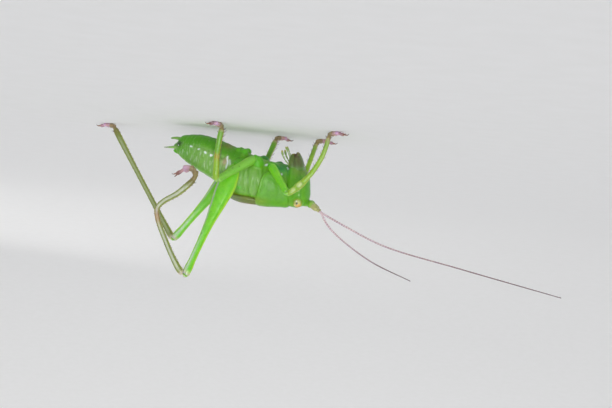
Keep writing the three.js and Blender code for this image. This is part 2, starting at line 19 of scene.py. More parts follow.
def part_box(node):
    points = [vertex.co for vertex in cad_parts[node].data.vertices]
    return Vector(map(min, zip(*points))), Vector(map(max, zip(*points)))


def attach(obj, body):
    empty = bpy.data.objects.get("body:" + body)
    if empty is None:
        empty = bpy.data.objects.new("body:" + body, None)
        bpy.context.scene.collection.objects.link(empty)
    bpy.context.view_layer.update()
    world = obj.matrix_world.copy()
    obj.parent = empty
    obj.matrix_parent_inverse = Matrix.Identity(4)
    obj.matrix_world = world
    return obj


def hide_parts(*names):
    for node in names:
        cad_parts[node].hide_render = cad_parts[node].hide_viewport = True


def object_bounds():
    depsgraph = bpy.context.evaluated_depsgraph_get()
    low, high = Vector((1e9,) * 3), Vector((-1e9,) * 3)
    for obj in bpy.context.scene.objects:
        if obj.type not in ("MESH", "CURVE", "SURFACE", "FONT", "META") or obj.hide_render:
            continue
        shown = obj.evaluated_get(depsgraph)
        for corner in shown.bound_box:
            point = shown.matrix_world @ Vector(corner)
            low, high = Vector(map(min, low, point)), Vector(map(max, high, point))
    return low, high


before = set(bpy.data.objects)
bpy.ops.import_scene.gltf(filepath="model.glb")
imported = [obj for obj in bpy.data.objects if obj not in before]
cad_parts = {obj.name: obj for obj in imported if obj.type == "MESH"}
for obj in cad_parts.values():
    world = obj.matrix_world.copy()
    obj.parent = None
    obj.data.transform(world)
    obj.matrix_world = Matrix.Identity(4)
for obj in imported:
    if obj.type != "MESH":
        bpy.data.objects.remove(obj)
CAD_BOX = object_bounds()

Array = np.ndarray
Place = tuple[float, float, float]
Point = Array | Place
log = logging.getLogger("bush_cricket")

MM = 0.001  # metres in a millimetre
ROLL = math.radians(6)  # the trunk leans over, so that its belly turns to the left
ROLL_AXIS_HEIGHT = 6.2
SEED = 7


class Side(Enum):
    """A side of the animal, as the sign of its Y."""

    LEFT = 1
    RIGHT = -1


def climb(value: Array, start: float, end: float) -> Array:
    """A soft step from 0 at start to 1 at end; start may be the greater of the two."""
    share = np.clip((value - start) / (end - start), 0, 1)
    return share * share * (3 - 2 * share)


def near(value: Array, centre: float | Array, width: float) -> Array:
    """1 at centre, falling away as a bell of that half-width."""
    return np.exp(-(((value - centre) / width) ** 2))


def squared(value: Array, squareness: float) -> Array:
    """A cosine or sine squared off: 2 keeps a circle, and more moves it towards a square."""
    return np.sign(value) * np.abs(value) ** (2 / squareness)


def unit(vectors: Array) -> Array:
    """Vectors with their length set to 1."""
    return vectors / np.maximum(np.linalg.norm(vectors, axis=-1, keepdims=True), 1e-12)


def around(sides: int) -> Array:
    """The angles of points spaced evenly round a ring."""
    return np.arange(sides) * (2 * math.pi / sides)


def eased(share: Array) -> Array:
    """Shares from 0 to 1, drawn closer together near both ends."""
    return 0.5 - 0.5 * np.cos(math.pi * share)


def rounding(share: Array) -> Array:
    """How high a rounded border stands, from 0 at its edge to 1 where the share is 1 or more."""
    return np.sqrt(np.clip(1 - (1 - np.minimum(share, 1)) ** 2, 0, 1))


def grid(x: Array, y: Array, z: Array) -> Array:
    """Points from their three coordinates, spread to one shape."""
    return np.stack(np.broadcast_arrays(x, y, z), -1)


def ring_faces(index: Array) -> Array:
    """The four-sided faces between rings of points, from the points' numbers by ring and side."""
    here, there = index[:-1], index[1:]
    return np.stack([here, np.roll(here, -1, 1), np.roll(there, -1, 1), there], -1).reshape(-1, 4)


def turned(points: Point, turn: float) -> Array:
    """Points turned about the trunk's long axis.

    Args:
        points: The points.
        turn: How far, in radians, from the left upwards.

    Returns:
        The turned points.
    """
    x, y, z = np.moveaxis(np.asarray(points, float), -1, 0)
    cos, sin, z = math.cos(turn), math.sin(turn), z - ROLL_AXIS_HEIGHT
    return grid(x, y * cos - z * sin, ROLL_AXIS_HEIGHT + y * sin + z * cos)


def rolled(points: Point) -> Array:
    """Points of the upright trunk, once it has rolled over its axis."""
    return turned(points, ROLL)


def unrolled(points: Array) -> Array:
    """The way back from rolled()."""
    return turned(points, -ROLL)


def placed(*places: Point, side: Side = Side.LEFT) -> list[Array]:
    """Places given on the left of the upright trunk, for either side and rolled with it."""
    return [rolled(np.array(place) * (1, side.value, 1)) for place in places]


class Profile:
    """A smooth curve through a few (place, value) pairs."""

    def __init__(self, *pairs: tuple[float, float]) -> None:
        """Parts the pairs into places and values."""
        self.places, self.values = np.array(pairs, float).T

    def __call__(self, place: Array | float) -> Array:
        """The curve's value at each place.

        Args:
            place: Where to read the curve.

        Returns:
            Its values there.
        """
        places, values, at = self.places, self.values, np.asarray(place, float)
        index = np.arange(len(places))
        before, after = np.maximum(index - 1, 0), np.minimum(index + 1, len(places) - 1)
        slopes = (values[after] - values[before]) / (places[after] - places[before])
        i = np.clip(np.searchsorted(places, at, side="right") - 1, 0, len(places) - 2)
        span = places[i + 1] - places[i]
        s = np.clip((at - places[i]) / span, 0, 1)
        start = values[i] * (1 + 2 * s) * (1 - s) ** 2 + slopes[i] * span * s * (1 - s) ** 2
        end = values[i + 1] * (3 - 2 * s) * s**2 - slopes[i + 1] * span * s**2 * (1 - s)
        return start + end


Girth = Profile | tuple[float, float] | Callable[[Array], tuple[Array | float, Array | float]]
Relief = Callable[[Array, Array], Array]


class Ripple:
    """A soft random swell over space, from -1 to 1 or so, with waves of a given length."""

    waves = 28

    def __init__(self, length: float, seed: int, stretch: Place = (1, 1, 1)) -> None:
        """Draws the waves.

        Args:
            length: The wave's length in millimetres.
            seed: The seed of the random draws.
            stretch: How many times longer the waves are along X, Y and Z.
        """
        draws = np.random.default_rng(seed)
        heading = unit(draws.normal(size=(self.waves, 3)))
        pace = 2 * math.pi / (length * draws.uniform(0.75, 1.5, (self.waves, 1)))
        self.reach = heading * pace / np.array(stretch)
        self.start = draws.uniform(0, 2 * math.pi, self.waves)

    def __call__(self, points: Array) -> Array:
        """The swell at each point.

        Args:
            points: Points in millimetres.

        Returns:
            The swell at each.
        """
        total = np.zeros(points.shape[:-1])
        for reach, start in zip(self.reach, self.start):
            total += np.cos(points @ reach + start)
        return total / math.sqrt(self.waves / 2) * 0.6


class Line:
    """A curve, held as many points, that is read by the share of its length."""

    def __init__(self, points: Array) -> None:
        """Measures the curve.

        Args:
            points: Points along it, close together.
        """
        self.points = np.asarray(points, float)
        steps = np.linalg.norm(np.diff(self.points, axis=0), axis=1)
        self.places = np.concatenate([[0], np.cumsum(steps)])
        self.length = float(self.places[-1])

    @classmethod
    def straight(cls, start: Point, end: Point) -> "Line":
        """A straight line between two points."""
        share = np.linspace(0, 1, 40)[:, None]
        return cls(np.asarray(start, float) * (1 - share) + np.asarray(end, float) * share)

    @classmethod
    def bent(cls, start: Point, pull: Point, end: Point) -> "Line":
        """A line from start to end that bends towards pull.

        Args:
            start: Its first point.
            pull: What it bends towards.
            end: Its last point.

        Returns:
            The line.
        """
        s = np.linspace(0, 1, 300)[:, None]
        a, b, c = (np.asarray(p, float) for p in (start, pull, end))
        return cls(a * (1 - s) ** 2 + b * 2 * s * (1 - s) + c * s**2)

    @classmethod
    def through(cls, places: Sequence[Point]) -> "Line":
        """A smooth line through a few points, with no overshoot at tight bends.

        Args:
            places: The points, in order.

        Returns:
            The line.
        """
        p = [np.asarray(q, float) for q in places]
        p = [2 * p[0] - p[1], *p, 2 * p[-1] - p[-2]]
        s = np.linspace(0, 1, 160)[:, None]
        runs = []
        for a, b, c, d in zip(p, p[1:], p[2:], p[3:]):
            ta, tb, tc = (np.linalg.norm(v) ** 0.5 for v in (b - a, c - b, d - c))
            out = ((b - a) / ta - (c - a) / (ta + tb) + (c - b) / tb) * tb
            into = ((c - b) / tb - (d - b) / (tb + tc) + (d - c) / tc) * tb
            run = b * (2 * s**3 - 3 * s**2 + 1) + out * (s**3 - 2 * s**2 + s)
            runs.append(run + c * (3 * s**2 - 2 * s**3) + into * (s**3 - s**2))
        return cls(np.concatenate([runs[0][:1], *(run[1:] for run in runs)]))

    def at(self, share: Array | float) -> Array:
        """The points at these shares of the length."""
        place = np.asarray(share, float) * self.length
        return np.stack([np.interp(place, self.places, self.points[:, k]) for k in range(3)], -1)

    def heading(self, share: Array | float) -> Array:
        """The directions of travel at these shares of the length."""
        return unit(self.at(np.minimum(share + 0.012, 1)) - self.at(np.maximum(share - 0.012, 0)))


@dataclass
class Shell:
    """A closed surface: points in millimetres, faces, where each point lies on the skin, and masks.

    A mask says for every point, from 0 to 1, how strongly a finish paints one of its tints there.
    """

    points: Array
    quads: Array
    tris: Array
    along: Array
    angle: Array
    masks: dict[str, Array] = field(default_factory=dict)

    def faces(self) -> Array:
        """All faces as triangles."""
        return np.concatenate([self.quads[:, [0, 1, 2]], self.quads[:, [0, 2, 3]], self.tris])

    def normals(self) -> Array:
        """The outward direction at every point.

        Returns:
            Directions of length 1, one for each point.
        """
        faces = self.faces()
        a, b, c = (self.points[faces[:, k]] for k in range(3))
        cross = np.cross(b - a, c - a)
        total = np.zeros_like(self.points)
        for k, axis in np.ndindex(3, 3):
            total[:, axis] += np.bincount(faces[:, k], cross[:, axis], len(self.points))
        return unit(total)

    def push(self, amount: Array) -> None:
        """Moves every point outwards by its amount."""
        self.points = self.points + self.normals() * amount[:, None]

    def paint(self, **masks: Array) -> "Shell":
        """Adds masks."""
        self.masks |= {name: np.clip(mask, 0, 1) * np.ones(len(self.points)) for name, mask in masks.items()}
        return self

    def on_floor(self) -> "Shell":
        """Flattens what would be under the floor, as a soft pad does where it stands."""
        self.points[:, 2] = np.maximum(self.points[:, 2], 0)
        return self


def joined(shells: Iterable[Shell]) -> Shell:
    """Several shells as one, each still closed. A mask that one of them lacks is 0 there.

    Args:
        shells: The shells, in order.

    Returns:
        The one shell.
    """
    shells = list(shells)
    starts = np.cumsum([0] + [len(s.points) for s in shells[:-1]])
    names = {name for s in shells for name in s.masks}
    return Shell(
        np.concatenate([s.points for s in shells]),
        np.concatenate([s.quads + start for s, start in zip(shells, starts)]),
        np.concatenate([s.tris + start for s, start in zip(shells, starts)]),
        np.concatenate([s.along for s in shells]),
        np.concatenate([s.angle for s in shells]),
        {n: np.concatenate([s.masks.get(n, np.zeros(len(s.points))) for s in shells]) for n in names},
    )


def wrapped(rings: Array, along: Array, angle: Array, poles: tuple[Array, Array]) -> Shell:
    """A closed skin from rings of points, with a point at each end.

    Args:
        rings: Points, by ring and side.
        along: The share of the length of each ring.
        angle: The angle of each side.
        poles: The points that close the two ends.

    Returns:
        The shell.
    """
    count, sides = rings.shape[:2]
    index = np.arange(count * sides).reshape(count, sides)
    first, last = count * sides, count * sides + 1
    start = np.stack([np.full(sides, first), np.roll(index[0], -1), index[0]], -1)
    end = np.stack([np.full(sides, last), index[-1], np.roll(index[-1], -1)], -1)
    points = np.concatenate([rings.reshape(-1, 3), np.stack(poles)])
    along_all = np.append(np.repeat(along, sides), [along[0], along[-1]])
    angle_all = np.append(np.tile(angle, count), [0, 0])
    return Shell(points, ring_faces(index), np.concatenate([start, end]), along_all, angle_all)


def loft(
    line: Line, up: Place, size: Girth, sides: int = 40, rings: int = 80, relief: Relief | None = None,
    blunt: tuple[float, float] = (0.3, 0.3), even: bool = False,
) -> Shell:
    """A limb along a line, with rounded ends.

    Args:
        line: The line down its middle.
        up: The way that its depth is measured.
        size: Half its width and half its depth, fixed or at shares of its length. A Profile gives both.
        sides: Points around it.
        rings: Rings of points along it.
        relief: How far the surface stands proud, at shares of the length and angles.
        blunt: The length of the rounding at each end.
        even: True to space the rings evenly, not closer at the ends.

    Returns:
        The limb as a shell. Angle 0 is across, and a quarter turn is towards up.
    """
    share = np.linspace(0, 1, rings + 2)[1:-1]
    t = share if even else eased(share)
    angle = around(sides)
    forward = line.heading(t)
    across = unit(np.cross(forward, np.array(up, float)))
    above = np.cross(across, forward)
    given = size if isinstance(size, tuple) else size(t)
    wide, deep = (given, given) if isinstance(size, Profile) else given
    ease = rounding(t * line.length / blunt[0]) * rounding((1 - t) * line.length / blunt[1])
    lift = (relief(t[:, None], angle[None, :]) if relief else 0) * ease[:, None]
    cos, sin = np.cos(angle)[None, :], np.sin(angle)[None, :]
    out = cos * ((wide * ease)[:, None] + lift)
    rise = sin * ((deep * ease)[:, None] + lift)
    points = line.at(t)[:, None] + across[:, None] * out[..., None] + above[:, None] * rise[..., None]
    return wrapped(points, t, angle, (line.at(0), line.at(1)))


def fused(shells: Iterable[Shell], voxel: float) -> Shell:
    """Shells that cross each other, melted into one smooth skin.

    Args:
        shells: The shells to melt together.
        voxel: The grain of the melt in millimetres. Creases finer than it are lost.

    Returns:
        The one skin, without masks.
    """
    whole = joined(shells)
    block = linked("melt", mesh_of("melt", whole.points, whole.quads, whole.tris))
    block.modifiers.new("melt", "REMESH").mode = "VOXEL"
    block.modifiers["melt"].voxel_size = voxel
    soften = block.modifiers.new("soften", "SMOOTH")
    soften.factor, soften.iterations = 0.5, 5
    block.modifiers.new("refine", "SUBSURF").levels = 1
    made = block.evaluated_get(bpy.context.evaluated_depsgraph_get()).to_mesh()
    points, corners = np.zeros((len(made.vertices), 3)), np.zeros((len(made.loops) // 4, 4), int)
    made.vertices.foreach_get("co", points.ravel())
    made.loops.foreach_get("vertex_index", corners.ravel())
    block.to_mesh_clear()
    bpy.data.objects.remove(block)
    return Shell(points, corners, np.zeros((0, 3), int), *np.zeros((2, len(points))))


def mesh_of(name: str, points: Array, quads: Array, tris: Array) -> bpy.types.Mesh:
    """A Blender mesh from points, four-sided faces and triangles.

    Args:
        name: The mesh's name.
        points: Its points.
        quads: Its four-sided faces.
        tris: Its triangles.

    Returns:
        The mesh, smooth shaded.
    """
    mesh = bpy.data.meshes.new(name)
    mesh.vertices.add(len(points))
    mesh.vertices.foreach_set("co", np.asarray(points, np.float32).ravel())
    mesh.loops.add(quads.size + tris.size)
    mesh.loops.foreach_set("vertex_index", np.append(quads, tris).astype(np.int32))
    mesh.polygons.add(len(quads) + len(tris))
    starts = np.append(np.arange(len(quads)) * 4, quads.size + np.arange(len(tris)) * 3)
    mesh.polygons.foreach_set("loop_start", starts.astype(np.int32))
    mesh.update(calc_edges=True)
    mesh.validate()
    mesh.polygons.foreach_set("use_smooth", np.ones(len(mesh.polygons), bool))
    return mesh


def linked(name: str, data: bpy.types.ID) -> bpy.types.Object:
    """A new object, linked to the scene.

    Args:
        name: The object's name.
        data: Its mesh, lamp or camera.

    Returns:
        The object.
    """
    made = bpy.data.objects.new(name, data)
    bpy.context.scene.collection.objects.link(made)
    return made


def bristles(
    roots: Array, heading: Array, droop: Array, length: Array, radius: float, sides: int = 3, rings: int = 3
) -> Shell:
    """Many tapered, bent spikes as one shell: hairs with few sides, spines with more.

    Args:
        roots: Where each grows, (n, 3).
        heading: The way each starts out, (n, 3).
        droop: The way each bends towards its tip, (n, 3), longer for more bend.
        length: Each one's length, (n,).
        radius: Their half-thickness at the root.
        sides: Sides of a spike.
        rings: Rings along a spike.

    Returns:
        The shell. Its mask named tip is 0 at the roots and 1 at the tips.
    """
    count = len(roots)
    heading = unit(heading)
    other = np.where(np.abs(heading[:, [2]]) > 0.8, [[1, 0, 0]], [[0, 0, 1]])
    across = unit(np.cross(heading, other))
    above = np.cross(across, heading)
    share = np.linspace(0, 1, rings + 1)[:-1]
    s, a = (values.ravel() for values in np.meshgrid(share, around(sides), indexing="ij"))
    taper = (1 - s) ** 0.7
    spine = s[None, :, None] * length[:, None, None]
    middle = roots[:, None] + heading[:, None] * spine + droop[:, None] * (spine * s[None, :, None])
    girth = (radius * taper)[None, :, None]
    body = middle + (across[:, None] * np.cos(a)[:, None] + above[:, None] * np.sin(a)[:, None]) * girth
    tip = roots + (heading + droop) * length[:, None]
    points = np.concatenate([body, tip[:, None]], 1)
    each = points.shape[1]
    index = np.arange(rings * sides).reshape(rings, sides)
    cap = np.stack([np.full(sides, each - 1), index[-1], np.roll(index[-1], -1)], -1)
    foot = np.stack([index[0][np.zeros(sides - 2, int)], index[0][2:], index[0][1:-1]], -1)
    starts = (np.arange(count) * each)[:, None, None]
    faces = ring_faces(index), np.concatenate([cap, foot])
    quads, tris = ((part[None] + starts).reshape(-1, part.shape[1]) for part in faces)
    along, angle = np.tile(np.append(s, 1), count), np.tile(np.append(a, 0), count)
    return Shell(points.reshape(-1, 3), quads, tris, along, angle).paint(tip=along)


def hex_colour(code: str) -> tuple[float, ...]:
    """The linear red, green, blue and alpha that a shader takes, from an sRGB hex such as #60A60A."""
    parts = [int(code[i : i + 2], 16) / 255 for i in (1, 3, 5)]
    return (*(c / 12.92 if c <= 0.04045 else ((c + 0.055) / 1.055) ** 2.4 for c in parts), 1)


def per_mm(size: float) -> float:
    """The texture scale, in repeats to the metre, of a pattern of this size in millimetres."""
    return 1 / (size * MM)


def add_node(
    tree: bpy.types.NodeTree, kind: str, inputs: dict[str | int, object] | None = None, **settings: object
) -> bpy.types.Node:
    """Adds a node with its settings and links.

    Args:
        tree: The tree that it goes in.
        kind: Blender's name for the kind of node, without the word ShaderNode.
        inputs: What goes in each socket: a value, or another node's output to link.
        **settings: The node's own settings.

    Returns:
        The node.
    """
    made = tree.nodes.new("ShaderNode" + kind)
    for name, value in settings.items():
        setattr(made, name, value)
    for key, value in (inputs or {}).items():
        if isinstance(value, bpy.types.NodeSocket):
            tree.links.new(value, made.inputs[key])
        else:
            made.inputs[key].default_value = value
    return made


@dataclass(frozen=True)
class Cuticle:
    """Insect cuticle, grown and moulted: a thin waxed horn over soft flesh.

    Light goes a little way in and comes out coloured, which makes the animal glow at its edges, and the wax
    gives small sharp glints. A net of cells, pores and cloudy patches keeps the colour from looking painted.
    """

    name: str
    base: str
    cloud: str
    tints: tuple[tuple[str, str, float], ...] = ()  # a mask, the colour that shows there, how strongly
    cloud_size: float = 0.9  # the soft patches of fat under the skin
    cell_size: float = 0.13  # the domes of the skin cells, drawn three times as coarse as life to show
    cell_height: float = 0.007
    pore: str = "#3F7A1C"
    pore_size: float = 0.42  # the distance between pores
    pore_share: float = 0.35
    roughness: float = 0.34
    smear_size: float = 0.35  # the patches where the wax is thicker or thinner
    coat: float = 0.25
    coat_roughness: float = 0.12
    shine: float = 0.5
    depth: float = 0.55  # how far light goes in
    glow: float = 0.55
    ior: float = 1.54  # chitin with its wax

    def colour(self, tree: bpy.types.NodeTree, place: bpy.types.NodeSocket) -> bpy.types.NodeSocket:
        """Lays the colours over each other: patches, tints where the masks are, then pores.

        Args:
            tree: The material's tree.
            place: The point on the surface.

        Returns:
            The colour.
        """
        clouds = {"Vector": place, "Scale": per_mm(self.cloud_size), "Detail": 4, "Roughness": 0.6}
        patches = add_node(tree, "TexNoise", clouds).outputs["Fac"]
        share = add_node(tree, "MapRange", {"Value": patches, "From Min": 0.36, "From Max": 0.64}).outputs[0]
        layers = [(share, self.cloud)]
        for name, code, strength in self.tints:
            mask = add_node(tree, "Attribute", attribute_name=name).outputs["Fac"]
            broken = add_node(tree, "MapRange", {"Value": patches, "To Min": 0.75, "To Max": 1.2}).outputs[0]
            amount = add_node(tree, "Math", {0: mask, 1: broken}, operation="MULTIPLY").outputs[0]
            capped = {0: amount, 1: strength}
            share = add_node(tree, "Math", capped, operation="MULTIPLY", use_clamp=True).outputs[0]
            layers.append((share, code))
        spots = {"Vector": place, "Scale": per_mm(self.pore_size), "Randomness": 1}
        spot = add_node(tree, "TexVoronoi", spots).outputs["Distance"]
        ring = {"Value": spot, "From Min": 0.1, "From Max": 0.2, "To Min": self.pore_share, "To Max": 0}
        layers.append((add_node(tree, "MapRange", ring).outputs[0], self.pore))
        colour = hex_colour(self.base)
        for share, code in layers:
            mixed = {0: share, 6: colour, 7: hex_colour(code)}
            colour = add_node(tree, "Mix", mixed, data_type="RGBA").outputs[2]
        return colour

    def material(self) -> bpy.types.Material:
        """The finish as a material, made once and shared.

        Returns:
            The material.
        """
        if self.name in bpy.data.materials:
            return bpy.data.materials[self.name]
        made = bpy.data.materials.new(self.name)
        made.use_nodes = True
        tree = made.node_tree
        tree.nodes.clear()
        place = add_node(tree, "TexCoord").outputs["Object"]
        smears = {"Vector": place, "Scale": per_mm(self.smear_size), "Detail": 3}
        worn = add_node(tree, "TexNoise", smears).outputs["Fac"]
        spread = {"Value": worn, "To Min": self.roughness * 0.7, "To Max": self.roughness * 1.35}
        net = {"Vector": place, "Scale": per_mm(self.cell_size), "Smoothness": 1, "Randomness": 0.85}
        dip = add_node(tree, "TexVoronoi", net, feature="SMOOTH_F1").outputs["Distance"]
        dome = add_node(tree, "MapRange", {"Value": dip, "To Min": 1, "To Max": 0}).outputs[0]
        bump = {"Strength": 0.7, "Distance": self.cell_height * MM, "Height": dome}
        look = {
            "Base Color": self.colour(tree, place), "IOR": self.ior,
            "Normal": add_node(tree, "Bump", bump).outputs["Normal"],
            "Roughness": add_node(tree, "MapRange", spread).outputs[0], "Specular IOR Level": self.shine,
            "Subsurface Weight": self.glow, "Subsurface Scale": self.depth * MM,
            "Subsurface Radius": (1, 1, 0.35),  # blue goes a third as far in as red and green
            "Coat Weight": self.coat, "Coat Roughness": self.coat_roughness,
        }
        shader = add_node(tree, "BsdfPrincipled", look)
        add_node(tree, "OutputMaterial", {"Surface": shader.outputs[0]})
        return made


@dataclass(frozen=True)
class EyeFacets(Cuticle):
    """A compound eye: clear lenses over coloured cells, with a dark spot where one looks straight in.

    The lenses are a third of the number in life, so that they show. They glint one by one.
    """

    cell_size: float = 0.07
    cell_height: float = 0.01


@dataclass(frozen=True)
class Horn(Cuticle):
    """Hard cuticle, tanned after the moult: dense and polished, so that little light gets in."""

    cloud_size: float = 0.25
    roughness: float = 0.26
    coat: float = 0.15
    depth: float = 0.12
    glow: float = 0.2


@dataclass(frozen=True)
class PaperFloor:
    """Matt cotton paper, pressed: a plain pale ground with a grain that hardly shows."""

    name: str = "matt_cotton_paper"
    light: str = "#F4F3F0"
    shade: str = "#EFEEEA"
    fibre: float = 3.0  # the flecks of the pulp in millimetres

    def material(self) -> bpy.types.Material:
        """The paper as a material.

        Returns:
            The material.
        """
        made = bpy.data.materials.new(self.name)
        made.use_nodes = True
        tree = made.node_tree
        tree.nodes.clear()
        place = add_node(tree, "TexCoord").outputs["Object"]
        fleck = add_node(tree, "TexNoise", {"Vector": place, "Scale": per_mm(self.fibre), "Detail": 4})
        mixed = {0: fleck.outputs["Fac"], 6: hex_colour(self.light), 7: hex_colour(self.shade)}
        colour = add_node(tree, "Mix", mixed, data_type="RGBA").outputs[2]
        bump = {"Strength": 0.2, "Distance": 0.05 * MM, "Height": fleck.outputs["Fac"]}
        normal = add_node(tree, "Bump", bump).outputs["Normal"]
        paper = {"Base Color": colour, "Roughness": 0.95, "Specular IOR Level": 0, "Normal": normal}
        shader = add_node(tree, "BsdfPrincipled", paper)
        add_node(tree, "OutputMaterial", {"Surface": shader.outputs[0]})
        return made


# Soft skin stretched over green fat, waxed from within: it glows at its edges, and its shine where wet is
# painted highlight.
BODY_GREEN = Cuticle(
    "waxed_cuticle_body_green", base="#60A60A", cloud="#6EB21C", glow=0.6, depth=0.8, roughness=0.42,
    coat=0.15, coat_roughness=0.16, shine=0.36,
    tints=(
        ("glass", "#8BB466", 0.6), ("belly", "#4C9C08", 0.9), ("back", "#66A80C", 0.9),
        ("tan", "#A8842E", 0.8), ("olive", "#7E7A34", 0.85), ("pink", "#D3A296", 0.65),
        # fold is the pale membrane in the abdomen's folds, together with whitish streaks on the flank that
        # are painted highlight
        ("bright", "#4FC40F", 0.8), ("fold", "#D2E2C6", 0.55), ("seam", "#4E8F1E", 0.35),
        # dark is a painted shadow in the hollow of the vent, between its lobes
        # teal is the blue-green lobe at the breast, and painted shade on the hips of the far, right side
        ("dark", "#143A08", 0.95), ("hip", "#55B41A", 0.7), ("teal", "#2F8A48", 0.85),
        ("glint", "#F0F4FF", 0.88),
    ),
)
# The stiff saddle, hardened after the moult: an even green with a broad, dull gloss.
SHIELD_GREEN = Cuticle(
    "waxed_cuticle_shield_green", base="#5AA608", cloud="#66B014", depth=0.7, roughness=0.44,
    coat=0.1, coat_roughness=0.2, shine=0.36,
    tints=(
        ("rim", "#86BC40", 0.3), ("groove", "#458C14", 0.4), ("tan", "#94903A", 0.7),
        ("back", "#6CB41C", 0.6), ("glass", "#82AE58", 0.2),
    ),
)
# The head's hard case, grown in one piece: smooth, with pits that break up its soft gloss.
HEAD_GREEN = Cuticle(
    "waxed_cuticle_head_green", base="#5CA60C", cloud="#6AB01C", depth=0.6, roughness=0.42,
    coat=0.15, coat_roughness=0.15, shine=0.36,
    tints=(
        ("crown", "#86C02C", 0.6), ("groove", "#4A9A1C", 0.5), ("brow", "#D9A23C", 0.8),
        ("face", "#54AA1C", 0.6), ("mouth", "#748E3E", 0.6), ("socket", "#A9C860", 0.7),
        ("teal", "#2F8A48", 0.85), ("glint", "#F2F6FA", 0.9),
    ),
)
# Thin cuticle over dark muscle: light gets through, so the lip looks olive and streaked.
MOUTH_BROWN = Cuticle(
    "thin_cuticle_mouth_olive", base="#50621E", cloud="#5C782E", cloud_size=0.4, glow=0.6, depth=0.5,
    tints=(
        ("brown", "#50481A", 0.6), ("edge", "#A9A468", 0.6), ("root", "#5E9A30", 0.9),
        ("tip", "#8A6A24", 0.6),
    ),
)
# Very thin tube of skin: nearly clear, pale at the joints and yellow at the soft tips.
PALP_GREEN = Cuticle(
    "thin_cuticle_palp_green", base="#7C9A48", cloud="#8CA85C", cloud_size=0.3, cell_size=0.1,
    cell_height=0.006, pore_size=0.2, depth=0.3,
    tints=(("joint", "#A8BC8C", 0.7), ("tip", "#B0A04A", 0.9)),
)
# Clear lenses grown over yellow cells: a wet, glassy ball with one sharp glint and a dark spot.
EYE = EyeFacets(
    "clear_facets_yellow_eye", base="#D6D27A", cloud="#C8C864", pore_share=0, roughness=0.16, coat=1,
    coat_roughness=0.04, glow=0.3, depth=0.15,
    tints=(
        ("lower", "#C2D48A", 0.7), ("rim", "#DDA032", 0.9), ("ghost", "#8E8C3A", 0.5),
        ("pupil", "#0B0A08", 1), ("glint", "#FBFBF4", 0.9),
    ),
)
# Knobbly cuticle, tanned in flecks: mottled cream and brown, hardly shiny.
FEELER_BASE = Cuticle(
    "mottled_cuticle_feeler_base", base="#C9C48A", cloud="#9CA45A", cloud_size=0.28, pore="#7A5A3A",
    pore_size=0.22, pore_share=0.5, depth=0.3,
    tints=(("joint", "#8A7A4A", 0.7), ("root", "#7CBB26", 0.8)),
)
# A chain of tiny tanned rings: pink near the head, dull brown further out.
FEELER = Cuticle(
    "ringed_cuticle_feeler", base="#DEC8CC", cloud="#CDB2B8", cloud_size=0.6, cell_size=0.08,
    cell_height=0.003, pore_share=0, roughness=0.4, coat=0.1, depth=0.1, glow=0.3,
    tints=(("far", "#5E434A", 0.95), ("band", "#6E4C4A", 0.55)),
)
# Thin hard cuticle over jumping muscle: the brightest green, with a painted satin sheen and yellow keels.
THIGH_GREEN = Cuticle(
    "waxed_cuticle_thigh_green", base="#6CCA06", cloud="#7ED21A", coat=0.3, depth=0.6,
    tints=(
        ("soft", "#84C24A", 0.7), ("edge", "#B9DE38", 0.85), ("root", "#7CC62E", 0.5),
        ("lilac", "#A9A7C4", 0.85), ("sheen", "#CFDACF", 0.75), ("dots", "#2F6A14", 0.9),
        ("knee", "#E2C8BC", 0.75),
    ),
)
# A hard hollow tube, keeled as it grew: yellow-green, with pale drums over the ears.
SHIN_GREEN = Cuticle(
    "waxed_cuticle_shin_green", base="#86B418", cloud="#94BC26", cloud_size=0.6, depth=0.4,
    tints=(
        ("edge", "#BCBC34", 0.6), ("ear", "#D0DC9C", 0.75), ("leaf", "#5CA41A", 0.8),
        ("far", "#7A9A3C", 0.7), ("blush", "#C9843A", 0.8), ("foot", "#C09A86", 0.7),
    ),
)
# A hard hollow tube with air under its faces: a chalky stripe between yellow keels, brightened on the lifted
# shin into a painted highlight.
SHIN_PALE = Cuticle(
    "waxed_cuticle_shin_pale", base="#7E9034", cloud="#76862E", cloud_size=0.5, pore="#5A5A30",
    pore_size=0.3, pore_share=0.3, depth=0.35,
    tints=(
        ("centre", "#CDD2BC", 0.85), ("edge", "#B0B02A", 0.9), ("dots", "#4E4E2C", 0.5),
        ("blush", "#A97C5A", 0.75), ("far", "#7C7238", 0.85), ("knee", "#E4CFC2", 0.7),
    ),
)
# Soft, unwaxed skin of the soles: matt pink, lilac where the pads swell, brighter on the standing feet as
# painted glow of light shining through.
FOOT_PINK = Cuticle(
    "soft_cuticle_foot_pink", base="#C79A9A", cloud="#D0A4C0", cloud_size=0.35, cell_size=0.08,
    cell_height=0.01, pore="#8A5A52", pore_size=0.18, roughness=0.45, coat=0.1, depth=0.3,
    tints=(("root", "#86783A", 0.95), ("pad", "#CFA6CC", 0.85), ("tip", "#7C5240", 0.9)),
)
# A folded bag of wing membrane: greyish and half clear, with raised veins.
PAD_VEINED = Cuticle(
    "membrane_wing_pad", base="#828F66", cloud="#748256", cloud_size=0.4, pore_share=0.1, roughness=0.38,
    coat=0.2, depth=0.4, shine=0.4,
    tints=(
        ("vein", "#66763A", 0.8), ("root", "#6E7C2A", 0.95), ("rust", "#90602A", 0.8),
        ("edge", "#B2B05E", 0.75),
    ),
)
# Thin cuticle that stays soft: it lets light through towards the tips.
TAIL_GREEN = Cuticle(
    "thin_cuticle_tail_green", base="#6CA03C", cloud="#80AE4E", cloud_size=0.4, depth=0.3,
    tints=(("tip", "#86927C", 0.85), ("root", "#4E981E", 0.7)),
)
# Solid tanned horn, polished by use: plum brown, near black at the points.
SPINE_HORN = Horn("tanned_horn_spine", base="#7A5666", cloud="#8E6A6E", tints=(("tip", "#3A2228", 0.9),))
# Solid tanned horn: red-brown hooks with dark, shiny points.
CLAW_HORN = Horn("tanned_horn_claw", base="#A0705A", cloud="#8E604A", tints=(("tip", "#3E1E14", 0.9),))
